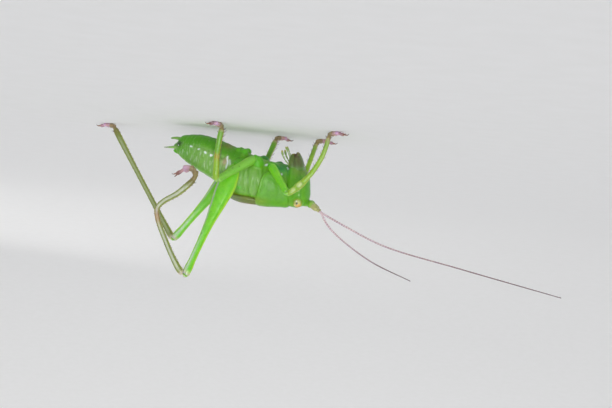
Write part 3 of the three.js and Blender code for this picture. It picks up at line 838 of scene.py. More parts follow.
# Thick cuticle that tans towards its edge: olive, brown in streaks, with a near-white line along its back
# that is a painted highlight.
JAW_HORN = Cuticle(
    "tanned_cuticle_jaw", base="#56622A", cloud="#5E7034", cloud_size=0.35, glow=0.6, depth=0.5,
    tints=(
        ("brown", "#50461A", 0.65), ("root", "#62983A", 0.9), ("edge", "#E0DEC6", 0.85),
        ("tip", "#4A2C10", 0.9),
    ),
)
# Hollow hairs of clear horn: pale, and bright only against the light.
HAIR = Horn("fine_hair_pale", base="#DCE4B8", cloud="#CED8A0", glow=0)


@dataclass
class Bench:
    """Where shells become pieces of the model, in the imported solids' own frame."""

    eye_centre: Place = (6.2, 1.66, 8.76)  # the middle of the left eye's solid

    def __post_init__(self) -> None:
        """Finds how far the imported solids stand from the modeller's frame, by the left eye."""
        low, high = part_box("eye_left")
        self.shift = np.array((low + high) / 2) / MM - rolled(self.eye_centre)

    def place(
        self, name: str, shell: Shell, finish: Cuticle, slot: str, solids: Sequence[str] = (),
        roots: Array | None = None,
    ) -> None:
        """Makes a piece.

        Args:
            name: The piece's name.
            shell: Its shape.
            finish: Its finish.
            slot: Not used; the material slot of the record that it belongs to.
            solids: The solids that it stands for.
            roots: For hairs, each point's place on an unwrap of the skin that they grow on.
        """
        mesh = mesh_of(name, (shell.points + self.shift) * MM, shell.quads, shell.tris)
        for mask, values in sorted(shell.masks.items()):
            layer = mesh.attributes.new(mask, "FLOAT", "POINT")
            layer.data.foreach_set("value", values.astype(np.float32))
        if roots is not None:
            corners = np.zeros(len(mesh.loops), int)
            mesh.loops.foreach_get("vertex_index", corners)
            unwrap = mesh.uv_layers.new(name="OFBake")
            unwrap.data.foreach_set("uv", roots[corners].astype(np.float32).ravel())
        mesh.materials.append(finish.material())
        piece = linked(name, mesh)
        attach(piece, "root")
        if solids:
            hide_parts(*solids)
        log.info("%s: %d faces, %s", name, len(mesh.polygons), finish.name)


@dataclass(frozen=True)
class Coat:
    """Fine hairs that lie along a skin, each one real mesh."""

    spacing: float = 0.3  # a hair grows on each square of this side in millimetres
    length: float = 0.16
    radius: float = 0.009
    lift: float = 0.45  # 0 lies flat, 1 stands up
    bend: float = 0.35  # how far a tip leans over, as a share of the length
    sunk: float = 0.02  # how deep a root sits in the skin
    patch: float = 0.003  # each hair's patch on the unwrap
    seed: int = SEED

    def grow(
        self, shell: Shell, lie: Array, strip: tuple[float, float] = (0, 1), where: Array | None = None
    ) -> tuple[Shell, Array]:
        """Grows the hairs of one skin.

        Args:
            shell: The skin.
            lie: The way the hairs lie, one direction or one for each point.
            strip: The strip of the unwrap that this skin has, from 0 to 1.
            where: How thickly the hairs grow at each point, from 0 to 1.

        Returns:
            The hairs and each of their points' place on the unwrap.
        """
        draws = np.random.default_rng(self.seed + len(shell.points))
        faces = shell.faces()
        a, b, c = (shell.points[faces[:, k]] for k in range(3))
        area = np.linalg.norm(np.cross(b - a, c - a), axis=1) / 2
        count = int(area.sum() / self.spacing**2)
        pick = faces[draws.choice(len(faces), count, p=area / area.sum()), draws.integers(0, 3, count)]
        if where is not None:
            pick = pick[draws.random(count) < where[pick]]
        normal = shell.normals()[pick]
        lie = np.broadcast_to(lie, shell.points.shape)[pick]
        flat = unit(lie - normal * (lie * normal).sum(1, keepdims=True) + draws.normal(0, 0.25, normal.shape))
        heading = unit(normal * self.lift + flat * (1 - self.lift))
        length = self.length * draws.uniform(0.6, 1.3, len(pick))
        feet = shell.points[pick] - normal * self.sunk
        hairs = bristles(feet, heading, flat * self.bend, length, self.radius)
        each = len(hairs.points) // len(pick)
        low, high = strip
        turn = low + (high - low) * (0.02 + 0.96 * (shell.angle[pick] % (2 * math.pi)) / (2 * math.pi))
        root = np.stack([0.01 + 0.98 * shell.along[pick], turn], 1)
        offset = np.stack([np.cos(hairs.angle) * 0.5, hairs.along - 0.5], 1) * self.patch
        return hairs, np.repeat(root, each, 0) + offset


@dataclass
class Trunk:
    """Thorax and abdomen with the hips, as one skin without a seam."""

    tail: float = -10.15
    abdomen_front: float = -1.75
    neck: float = 4.75
    ring_count: int = 9
    squareness: float = 2.25  # of a section: 2 is an oval
    voxel: float = 0.1  # the grain of the melt
    tail_round: float = 0.45
    back: Profile = Profile(
        (-10.15, 3.1), (-9.6, 3.95), (-8.2, 4.98), (-5.2, 6.55), (-4, 7.25),
        (-3, 8.05), (-2, 8.6), (-1, 8.88), (1.5, 9.1), (4.75, 9),
    )
    belly: Profile = Profile(
        (-10.15, 2.25), (-9.6, 1.6), (-8.4, 1.3), (-6.6, 1.22),
        (-4, 1.85), (-1, 2.95), (1.5, 3.7), (4.75, 4.1),
    )
    girth: Profile = Profile(
        (-10.15, 0.45), (-9.6, 1), (-8.2, 1.75), (-5.8, 2.4), (-3, 2.65), (0, 2.45), (2.5, 2.05), (4.75, 1.42)
    )
    lean: Profile = Profile((-10.15, 0.42), (-6, 0.34), (-2, 0.14), (0, 0), (4.75, 0))
    hip_size: Profile = Profile((0, 0.85), (0.5, 0.84), (0.8, 0.68), (1, 0.5))
    side_fold: float = -0.34  # the angle of the fold that runs along the flank
    gleam_height: float = 4.6  # the middle of the long painted highlight, a wet streak, on the left flank
    glint_spots: tuple[Place, ...] = (  # painted highlights on wet spots: X, Z and radius
        (1.8, 4.4, 0.16), (3.68, 3.8, 0.15), (3.85, 5.42, 0.13), (-9.56, 2.8, 0.07), (4.4, 4.5, 0.1),
    )
    breast_lobes: tuple[tuple[Place, Place, float], ...] = (  # from, to and radius
        ((3.5, 0.8, 5.1), (3.9, 1, 4.4), 0.76),
        ((1, 0.8, 4), (1.6, 0.8, 4.3), 0.5),
        ((-0.7, 0.9, 3.3), (-1.6, 1.1, 2.78), 0.62),
        ((-1.4, 1, 3.1), (-2.5, 0.9, 2.85), 0.6),
    )
    seams: tuple[Place, ...] = (  # place along the thorax, slant and strength
        (1.62, 0.07, 0.9), (0.86, -0.1, 0.3), (-0.22, 0.04, 0.7), (-0.95, -0.12, 0.3), (-1.7, 0.05, 0.9),
    )
    ring_height: float = 0.1
    crease_depth: float = 0.07

    @property
    def pitch(self) -> float:
        """The length of one ring of the abdomen."""
        return (self.abdomen_front - self.tail) / self.ring_count

    def middle(self, x: Array) -> Array:
        """The height of the trunk's middle."""
        return (self.back(x) + self.belly(x)) / 2

    def half(self, x: Array) -> Array:
        """Half the height of the trunk."""
        return (self.back(x) - self.belly(x)) / 2

    def surface(self, station: Array, angle: Array, grow: Array | float, squareness: float = 0) -> Array:
        """Places on the skin.

        Args:
            station: Where along the trunk.
            angle: 0 is the left flank, a quarter turn the back.
            grow: How far outside the skin.
            squareness: How square the section is, or 0 for the trunk's own.

        Returns:
            The points, rolled.
        """
        rise, out = (squared(turn(angle), squareness or self.squareness) for turn in (np.sin, np.cos))
        x = station
        for _ in range(5):
            z = self.middle(x) + rise * (self.half(x) + grow)
            x = station - self.lean(station) * (z - self.middle(station))
        return rolled(grid(x, out * (self.girth(x) + grow), z))

    def read(self, points: Array) -> tuple[Array, Array, Array]:
        """Where points lie on the trunk.

        Args:
            points: Points near its skin.

        Returns:
            Their station, their angle and how far outside the skin they are.
        """
        x, y, z = unrolled(points).T
        station = x
        for _ in range(6):
            station = x + self.lean(station) * (z - self.middle(station))
        rise, out = (z - self.middle(x)) / self.half(x), y / self.girth(x)
        power = self.squareness
        angle = np.arctan2(squared(rise, 4 / power), squared(out, 4 / power))
        reach = (np.abs(rise) ** power + np.abs(out) ** power) ** (1 / power)
        outside = (reach - 1) * np.minimum(self.half(x), self.girth(x))
        return station, angle, outside

    def barrel(self) -> Shell:
        """The trunk alone, closed with rounded ends.

        Returns:
            The trunk without its hips.
        """
        share, angle = eased(np.linspace(0, 1, 262)[1:-1]), around(128)
        station = self.tail + (self.neck - self.tail) * share
        shrink = (rounding((station - self.tail) / self.tail_round) - 1) * self.tail_round
        rings = self.surface(station[:, None], angle[None, :], shrink[:, None])
        return wrapped(rings[:, ::-1], share, angle[::-1], (rings[0].mean(0), rings[-1].mean(0)))

    def hip(self, leg: "Leg") -> list[Shell]:
        """The joint that carries a leg, and the short ring that the thigh turns on.

        Args:
            leg: The leg that it carries.

        Returns:
            The two parts.
        """
        root, hip = np.array(leg.root), np.array(leg.hip)
        base = Line.straight(root, hip + unit(hip - root) * 0.18)
        thigh = unit(np.array(leg.knee) - hip)
        ring = Line.straight(hip - thigh * 0.3, hip + thigh * 0.35)
        carrier = loft(base, (1, 0, 0), self.hip_size, blunt=(0.3, 0.45))
        return [carrier, loft(ring, (0.3, 0.2, 1), (0.46, 0.46), blunt=(0.4, 0.3))]

    def vent(self) -> list[Shell]:
        """The plate over the vent and the lobe at each side of it.

        Returns:
            The plate and the two lobes.
        """
        size = Profile((0, 0.34), (0.5, 0.36), (1, 0.2))
        flap = Line.bent(*placed((-9.4, 0, 3.7), (-10, 0, 3.72), (-10.4, 0, 3.3)))
        shells = [loft(flap, (0, 0, 1), lambda t: (size(t) * 1.3, 0.22 - 0.06 * t), blunt=(0.2, 0.2))]
        for side in Side:
            lobe = Line.straight(*placed((-9.5, 0.3, 2.85), (-10.4, 0.26, 2.9), side=side))
            shells.append(loft(lobe, (0, 0, 1), lambda t: (size(t), size(t) * 1.2), blunt=(0.2, 0.25)))
        return shells

    def breast(self) -> list[Shell]:
        """The soft lobes of the breast plates between the legs.

        Returns:
            The lobes of both sides.
        """
        return [
            loft(Line.straight(*placed(start, end, side=side)), (1, 0, 0), (radius, radius), blunt=(0.5, 0.5))
            for start, end, radius in self.breast_lobes
            for side in Side
        ]

    def rings_relief(self, station: Array, angle: Array) -> tuple[Array, Array]:
        """The overlapping rings of the abdomen.

        Args:
            station: Where along the trunk.
            angle: Where around it.

        Returns:
            How far the skin stands proud, and how deep in a fold it is, from 0 to 1.
        """
        under = climb(angle, self.side_fold + 0.05, self.side_fold - 0.2)
        turn = (self.abdomen_front - station) / self.pitch + 0.14 * under
        share = turn - np.floor(turn)
        tile = (1 - np.exp(-share / 0.12)) * (1 - np.exp(-(1 - share) / 0.05)) * (0.72 + 0.28 * share)
        fold = np.exp(-share / 0.09) + np.exp(-(1 - share) / 0.06)
        flank = near(angle, 0.1, 0.7)
        return self.ring_height * (0.65 + 0.6 * flank) * (tile - 0.62), np.clip(fold, 0, 1)

    def sides_relief(self, station: Array, angle: Array, points: Array) -> Array:
        """The plates, seams and soft wrinkles of the flanks of the thorax.

        Args:
            station: Where along the trunk.
            angle: Where around it.
            points: The points themselves.

        Returns:
            How far the surface stands out.
        """
        height = unrolled(points)[:, 2]
        flank = climb(np.abs(angle - 0.05), 1.05, 0.75)
        total = np.zeros_like(station)
        for place, slant, strength in self.seams:
            gap = station - place - slant * (height - 5.2)
            dip = near(gap, 0, 0.12) + 0.5 * near(gap, 0, 0.3) - 0.4 * near(np.abs(gap), 0.45, 0.22)
            total -= self.crease_depth * strength * dip
        return total * flank

    def build(self, bench: Bench, legs: Sequence["Leg"]) -> None:
        """Melts trunk and hips together, raises the relief and paints the masks.

        Args:
            bench: Where pieces are made.
            legs: The legs, for their hips.
        """
        hips = [shell for leg in legs for shell in self.hip(leg)]
        skin = fused([self.barrel(), *self.vent(), *self.breast(), *hips], self.voxel)
        station, angle, outside = self.read(skin.points)
        side = np.where(np.abs(angle) > math.pi / 2, np.sign(angle) * math.pi - angle, angle)
        on_trunk = climb(outside, 0.34, 0.1)
        abdomen = climb(station, self.abdomen_front + 0.15, self.abdomen_front - 0.15)
        rings, fold = self.rings_relief(station, side)
        height = unrolled(skin.points)[:, 2]

        groove = near(side, self.side_fold, 0.07) * abdomen
        swell = near(side, self.side_fold + 0.17, 0.12) * abdomen
        share = ((self.abdomen_front - station) / self.pitch) % 1
        breath = near(side, self.side_fold + 0.2, 0.05) * near(share, 0.35, 0.1) * abdomen
        streaks = Ripple(0.3, 11, (0.7, 3, 3.2))(skin.points)
        flank = climb(np.abs(side - 0.12), 0.75, 0.45)
        wrinkle = Ripple(0.5, 5, (0.8, 2, 2.6))(skin.points)
        fine = Ripple(0.2, 3)(skin.points)
        relief = abdomen * (rings - 0.075 * groove + 0.045 * swell + 0.03 * breath)
        relief += abdomen * flank * 0.022 * streaks
        relief += (1 - abdomen) * (self.sides_relief(station, side, skin.points) + 0.026 * flank * wrinkle)
        relief += 0.035 * (near(side, math.pi / 2, 0.14) * climb(station, 1.2, -0.5)) + 0.004 * fine
        relief = relief * on_trunk + (1 - on_trunk) * (0.012 * wrinkle + 0.004 * fine)
        relief -= 0.035 * near(outside, 0.16, 0.09) * climb(outside, 0.02, 0.1)
        marks = near(station, 1.35, 0.2) * near(height, 7.7, 0.22)
        marks += near(station, -1.17, 0.24) * near(height, 7.26, 0.2)
        relief += 0.05 * marks * on_trunk
        x, y, z = skin.points.T
        left, rise = y > 0, z - self.gleam_height
        # gleam and second: the long wet streak on the left flank and a fainter one beside it, painted
        # highlights that the relief also raises a little
        gleam = near(x + 2.93 - 0.06 * np.cos(rise * 5), 0, 0.12) * climb(np.abs(rise), 0.98, 0.7)
        second = near(x + 2.57 - 0.23 * rise, 0, 0.08) * climb(np.abs(rise), 0.55, 0.3)
        gleam = np.maximum(gleam, 0.8 * second) * left
        skin.push(relief + 0.06 * gleam)

        thorax_glass = (1 - abdomen) * flank * climb(np.abs(station + 0.1), 1.9, 1.5)
        glass = np.maximum(thorax_glass * (0.75 + 0.3 * wrinkle), abdomen * flank * 0.9)
        # fold and bands: pale in the folds between the rings and in streaks across the flank, partly the pale
        # membrane there and partly painted highlight
        folds = fold * abdomen * climb(np.abs(side - 0.2), 0.62, 0.3) * climb(station, -9.8, -7)
        # glints: painted highlights, a wet spot on most rings along the flank's fold, and one at each of the
        # glint spots
        number = np.floor((self.abdomen_front - station) / self.pitch)
        row = self.side_fold + 0.14 + 0.03 * np.cos(1.7 * number)
        row += 0.12 * (share - 0.5) * np.sin(2.9 * number)
        glints = near(side, row, 0.06) * near(share, 0.55 + 0.1 * np.sin(2.4 * number), 0.2)
        glints *= climb(station, -8.8, -7.8) * climb(station, -3.9, -4.5) * abdomen
        glints = climb(glints * (1 + 0.35 * wrinkle + 0.2 * streaks), 0.15, 0.7)
        for spot_x, spot_z, size in self.glint_spots:
            gap = np.hypot(x - spot_x, z - spot_z) / (size * (1 + 0.25 * wrinkle))
            glints = np.maximum(glints, climb(gap, 1.3, 0.6))
        seams = climb(-self.sides_relief(station, side, skin.points), 0.02, 0.09) * (1 - abdomen)
        bands = abdomen * flank * climb(streaks, 0.25, 1) * (0.35 + 0.65 * near(side, 0.15, 0.4))
        soft_belly = climb(side + 0.08 * wrinkle, self.side_fold + 0.08, self.side_fold - 0.42)
        # far_hips: the hips on the far, right side, tinted blue-green as painted shade
        far_hips = (1 - on_trunk) * climb(skin.points[:, 1], -0.4, -1) * climb(station, -8, -6)
        skin.paint(
            belly=(soft_belly + 0.8 * climb(station, -6.2, -9.2)) * abdomen * on_trunk,
            back=climb(side, 0.35, 0.95) * abdomen * on_trunk,
            glass=glass * on_trunk,
            fold=(folds * (0.45 + 0.4 * streaks) + 0.6 * bands) * on_trunk,
            glint=np.maximum(glints, gleam),
            seam=seams * on_trunk,
            tan=climb(side, 0.72, 1.05) * near(station, -0.2, 1.9) * on_trunk,
            olive=near(x, -3.2, 0.7) * near(z, 2.35, 0.5) * on_trunk,
            pink=near(station, -3.35, 0.35) * near(height, 4.2, 0.5) * left * on_trunk,
            bright=marks * on_trunk,
            # dark: a painted shadow in the hollow of the vent, between its lobes
            dark=1.3 * near(x, -9.5, 0.34) * near(z, 2.62, 0.34) * left,
            hip=1 - on_trunk,
            teal=near(station, 3.8, 1) * near(height, 4.5, 0.8) + 0.8 * far_hips,
        )
        skin.along = np.clip((station - self.tail) / (self.neck - self.tail), 0, 1)
        skin.angle = angle
        solids = [f"abdomen_{k}" for k in range(1, self.ring_count)] + [f"coxa_{leg.name}" for leg in legs]
        solids += ["abdomen_tip", "metathorax", "mesothorax", "prothorax"]
        bench.place("body_skin", skin, BODY_GREEN, "body_green", solids)
        lie = np.array([-1, 0, -0.2])
        hairs, roots = Coat(spacing=0.42, length=0.13).grow(skin, lie, where=0.2 + 0.8 * abdomen)
        bench.place("body_hairs", hairs, HAIR, "body_green", roots=roots)


@dataclass
class Shield:
    """The saddle over the first ring of the thorax (pronotum), and the wing pads behind it."""

    trunk: Trunk
    squareness: float = 2.5
    inner: float = 0.1
    outer_side: float = 0.3
    outer_back: float = 0.42
    rim: float = 0.45  # the width over which the edge rounds off
    lower_edge: float = 4.98
    front_edge: Profile = Profile(
        (4.95, 3), (5.1, 3.65), (5.45, 4.15), (6, 4.5), (6.6, 4.68), (7.4, 4.85), (8.6, 4.93), (9.8, 4.86)
    )
    hind_edge: Profile = Profile(
        (4.95, 2.7), (5.1, 2.15), (5.45, 1.72), (6, 1.42), (6.6, 1.26), (7.6, 1.05), (8.6, 0.76), (9.8, 0.52)
    )
    pad_width: Profile = Profile((0, 0.6), (0.35, 0.8), (0.72, 0.62), (0.92, 0.34), (1, 0.08))
    pad_root: float = 0.95
    pad_length: float = 3.85
    pad_angle: float = 1.14
    pad_arch: float = 2.35  # the radius of the back that the pads lie on

    def saddle(self) -> Shell:
        """The saddle as a closed shell with a soft bead along its edge.

        Returns:
            The saddle.
        """
        columns, rows = 110, 261
        middle, half = float(self.trunk.middle(3)), float(self.trunk.half(3)) + 0.3
        low = math.asin(((middle - self.lower_edge) / half) ** (self.squareness / 2))
        share = np.linspace(-1, 1, rows)
        turn = math.pi / 2 + (math.pi / 2 + low) * np.sign(share) * (1 - (1 - np.abs(share)) ** 1.25)
        angle, u = np.meshgrid(turn, eased(np.linspace(0, 1, columns)), indexing="ij")
        height = middle + squared(np.sin(angle), self.squareness) * half
        hind, front = self.hind_edge(height), self.front_edge(height)
        station = hind + (front - hind) * u
        to_side = np.minimum(station - hind, front - station)
        edge = np.minimum(to_side, np.maximum(height - self.lower_edge, 0) * 1.3)
        flank = climb(np.abs(angle - math.pi / 2), 1.2, 1)
        seam_a = near(station, 3.6 - 0.16 * np.abs(height - 7.5), 0.2) * climb(height, 9, 8.2)
        seam_b = near(station, 2.3 + 0.1 * np.abs(height - 7.6), 0.24)
        seam_b *= climb(height, 5.8, 6.6) * climb(height, 9, 8.2)
        outer = self.outer_side + (self.outer_back - self.outer_side) * climb(height, 7.4, 9)
        place = self.trunk.surface(station, angle, outer, self.squareness)
        swell, pit = Ripple(1.1, 22)(place), np.minimum(Ripple(0.3, 21)(place), 0)
        relief = 0.02 * near(edge, 0.12, 0.08) - 0.02 * near(edge, 0.32, 0.1) - 0.025 * seam_a - 0.02 * seam_b
        relief += 0.02 * near(angle, math.pi / 2, 0.05) + 0.01 * pit + 0.02 * swell
        grow = self.inner + (outer - self.inner + relief) * rounding(edge / self.rim)
        return slab(
            self.trunk.surface(station, angle, grow, self.squareness),
            self.trunk.surface(station, angle, self.inner, self.squareness),
            u,
            angle,
            rim=near(edge, 0.08, 0.12) * climb(height, 8.4, 7),
            groove=np.maximum(seam_a, seam_b) * 0.4,
            tan=climb(station - hind, 2.4, 0.1) * climb(height, 8, 8.9),
            back=climb(height, 8.2, 9.2),
            glass=flank * (0.45 + 0.5 * swell) * climb(height, 8.6, 7.6),
        )

    def wing_pad(self, side: Side) -> Shell:
        """One short wing pad that lies on the back, with its veins and its paler edge.

        Args:
            side: Its side.

        Returns:
            The pad.
        """
        spread = -np.cos(math.pi * np.linspace(0, 1, 91))
        v, t = np.meshgrid(spread, 1 - (0.5 + 0.5 * spread) ** 1.3, indexing="ij")
        half = self.pad_width(t)
        station = self.pad_root - self.pad_length * t + 0.25 * v * v * t
        angle = self.pad_angle + 0.1 * t + v * half / self.pad_arch
        edge = np.minimum((1 - np.abs(v)) * half, (1 - t) * self.pad_length)
        vein = sum(near(v, (k - 2.5) * 0.34 * (0.55 + 0.45 * t), 0.055) for k in range(6))
        vein *= climb(edge, 0, 0.08)
        vein = np.maximum(vein, 0.6 * near(np.sin(t * 30 + 3 * v), 1, 0.12) * climb(t, 0.2, 0.4))
        inner = 0.02 + 0.24 * t * t
        grow = inner + (0.3 + 0.03 * vein + 0.06 * (1 - v * v)) * rounding(edge / 0.14)
        outside, inside = (self.trunk.surface(station, angle, place) for place in (grow, inner))
        pale = climb(edge, 0.2, 0.06) * (0.1 + 0.9 * climb(v, 0, 0.5))
        root = climb(t, 0.66, 0.4)
        rust = root * climb(v, -0.1, 0.7) * climb(t, 0, 0.15)
        pad = slab(outside, inside, t, angle, vein=vein, edge=pale * climb(t, 0.1, 0.4), root=root, rust=rust)
        if side is Side.RIGHT:
            pad.points = rolled(unrolled(pad.points) * (1, -1, 1))
            pad.quads = pad.quads[:, ::-1]
        return pad

    def build(self, bench: Bench) -> None:
        """Makes the saddle and both pads.

        Args:
            bench: Where pieces are made.
        """
        bench.place("pronotum_shield", self.saddle(), SHIELD_GREEN, "body_green", ["pronotum"])
        for side in Side:
            name = f"wing_pad_{side.name.lower()}"
            bench.place(name + "_veined", self.wing_pad(side), PAD_VEINED, "wing_pad", [name])


def slab(outside: Array, inside: Array, along: Array, angle: Array, **masks: Array) -> Shell:
    """A curved plate whose two faces meet at its border.

    Args:
        outside: The points of its outer face, by row and column.
        inside: Those of its inner face. Its border isn't used.
        along: The share of the length at each point.
        angle: The angle at each point.
        **masks: Its masks, by row and column.

    Returns:
        The plate.
    """
    rows, columns = along.shape
    index = np.arange(rows * columns).reshape(rows, columns)
    hidden = np.zeros((rows, columns), int)
    hidden[1:-1, 1:-1] = np.arange((rows - 2) * (columns - 2)).reshape(rows - 2, -1) + rows * columns
    under = np.where(hidden > 0, hidden, index)
    top = np.stack([index[:-1, :-1], index[1:, :-1], index[1:, 1:], index[:-1, 1:]], -1).reshape(-1, 4)
    bottom = np.stack([under[:-1, :-1], under[:-1, 1:], under[1:, 1:], under[1:, :-1]], -1).reshape(-1, 4)

    def both(values: Array) -> Array:
        """Values of the outer face, then of the inner one within its border."""
        flat = values.reshape(rows * columns, -1)
        return np.concatenate([flat, values[1:-1, 1:-1].reshape(-1, flat.shape[1])]).squeeze()

    points = np.concatenate([outside.reshape(-1, 3), inside[1:-1, 1:-1].reshape(-1, 3)])
    shell = Shell(points, np.concatenate([top, bottom]), np.zeros((0, 3), int), both(along), both(angle))
    return shell.paint(**{name: both(mask) for name, mask in masks.items()})


@dataclass
class Tail:
    """The pair of feelers at the tail (cerci) and the plate under them."""

    taper: Profile = Profile((0, 0.25), (0.3, 0.18), (0.6, 0.12), (1, 0.045))
    base: Place = (-9.45, 0.62, 2.95)
    middle: Place = (-10.6, 0.92, 3)
    tip: Place = (-11.5, 0.7, 3.1)

    def feeler(self, side: Side) -> Shell:
        """One tail feeler, a tapered spike with soft rings.

        Args:
            side: Its side.

        Returns:
            The spike.
        """
        path = Line.bent(*placed(self.base, self.middle, self.tip, side=side))

        def ringed(t: Array, angle: Array) -> Array:
            """Soft rings that fade towards the tip."""
            return 0.012 * np.cos(t * 70) * (1 - t)

        spike = loft(path, (0, 0, 1), self.taper, 28, 90, ringed, (0.2, 0.08))
        return spike.paint(tip=climb(spike.along, 0.55, 0.95), root=climb(spike.along, 0.35, 0.1))

    def plate(self) -> Shell:
        """The plate under the tail, with a notch in its edge.

        Returns:
            The plate.
        """
        path = Line.bent(*placed((-9.4, 0, 1.95), (-10.3, 0, 1.75), (-10.85, 0, 1.95)))

        def notch(t: Array, angle: Array) -> Array:
            """A shallow groove down the middle of the plate."""
            return -0.07 * near(np.abs(np.sin(angle)), 1, 0.12) * climb(t, 0.45, 0.9)

        shell = loft(path, (0, 0, 1), lambda t: (0.5 - 0.25 * t, 0.24 - 0.1 * t), 48, 60, notch, (0.3, 0.25))
        return shell.paint(tip=climb(shell.along, 0.75, 1), root=climb(shell.along, 0.4, 0.1))

    def build(self, bench: Bench) -> None:
        """Makes the tail feelers with their hairs, and the plate.

        Args:
            bench: Where pieces are made.
        """
        grown = []
        for k, side in enumerate(Side):
            name = f"cercus_{side.name.lower()}"
            spike = self.feeler(side)
            bench.place(name + "_ringed", spike, TAIL_GREEN, "pale_green", [name])
            coat = Coat(spacing=0.11, length=0.22, lift=0.6)
            grown.append(coat.grow(spike, np.array([-1, 0, 0]), (k / 2, (k + 1) / 2)))
        bench.place("tail_plate", self.plate(), TAIL_GREEN, "pale_green", ["subgenital_plate"])
        roots = np.concatenate([root for _, root in grown])
        bench.place("cercus_hairs", joined(hairs for hairs, _ in grown), HAIR, "pale_green", roots=roots)


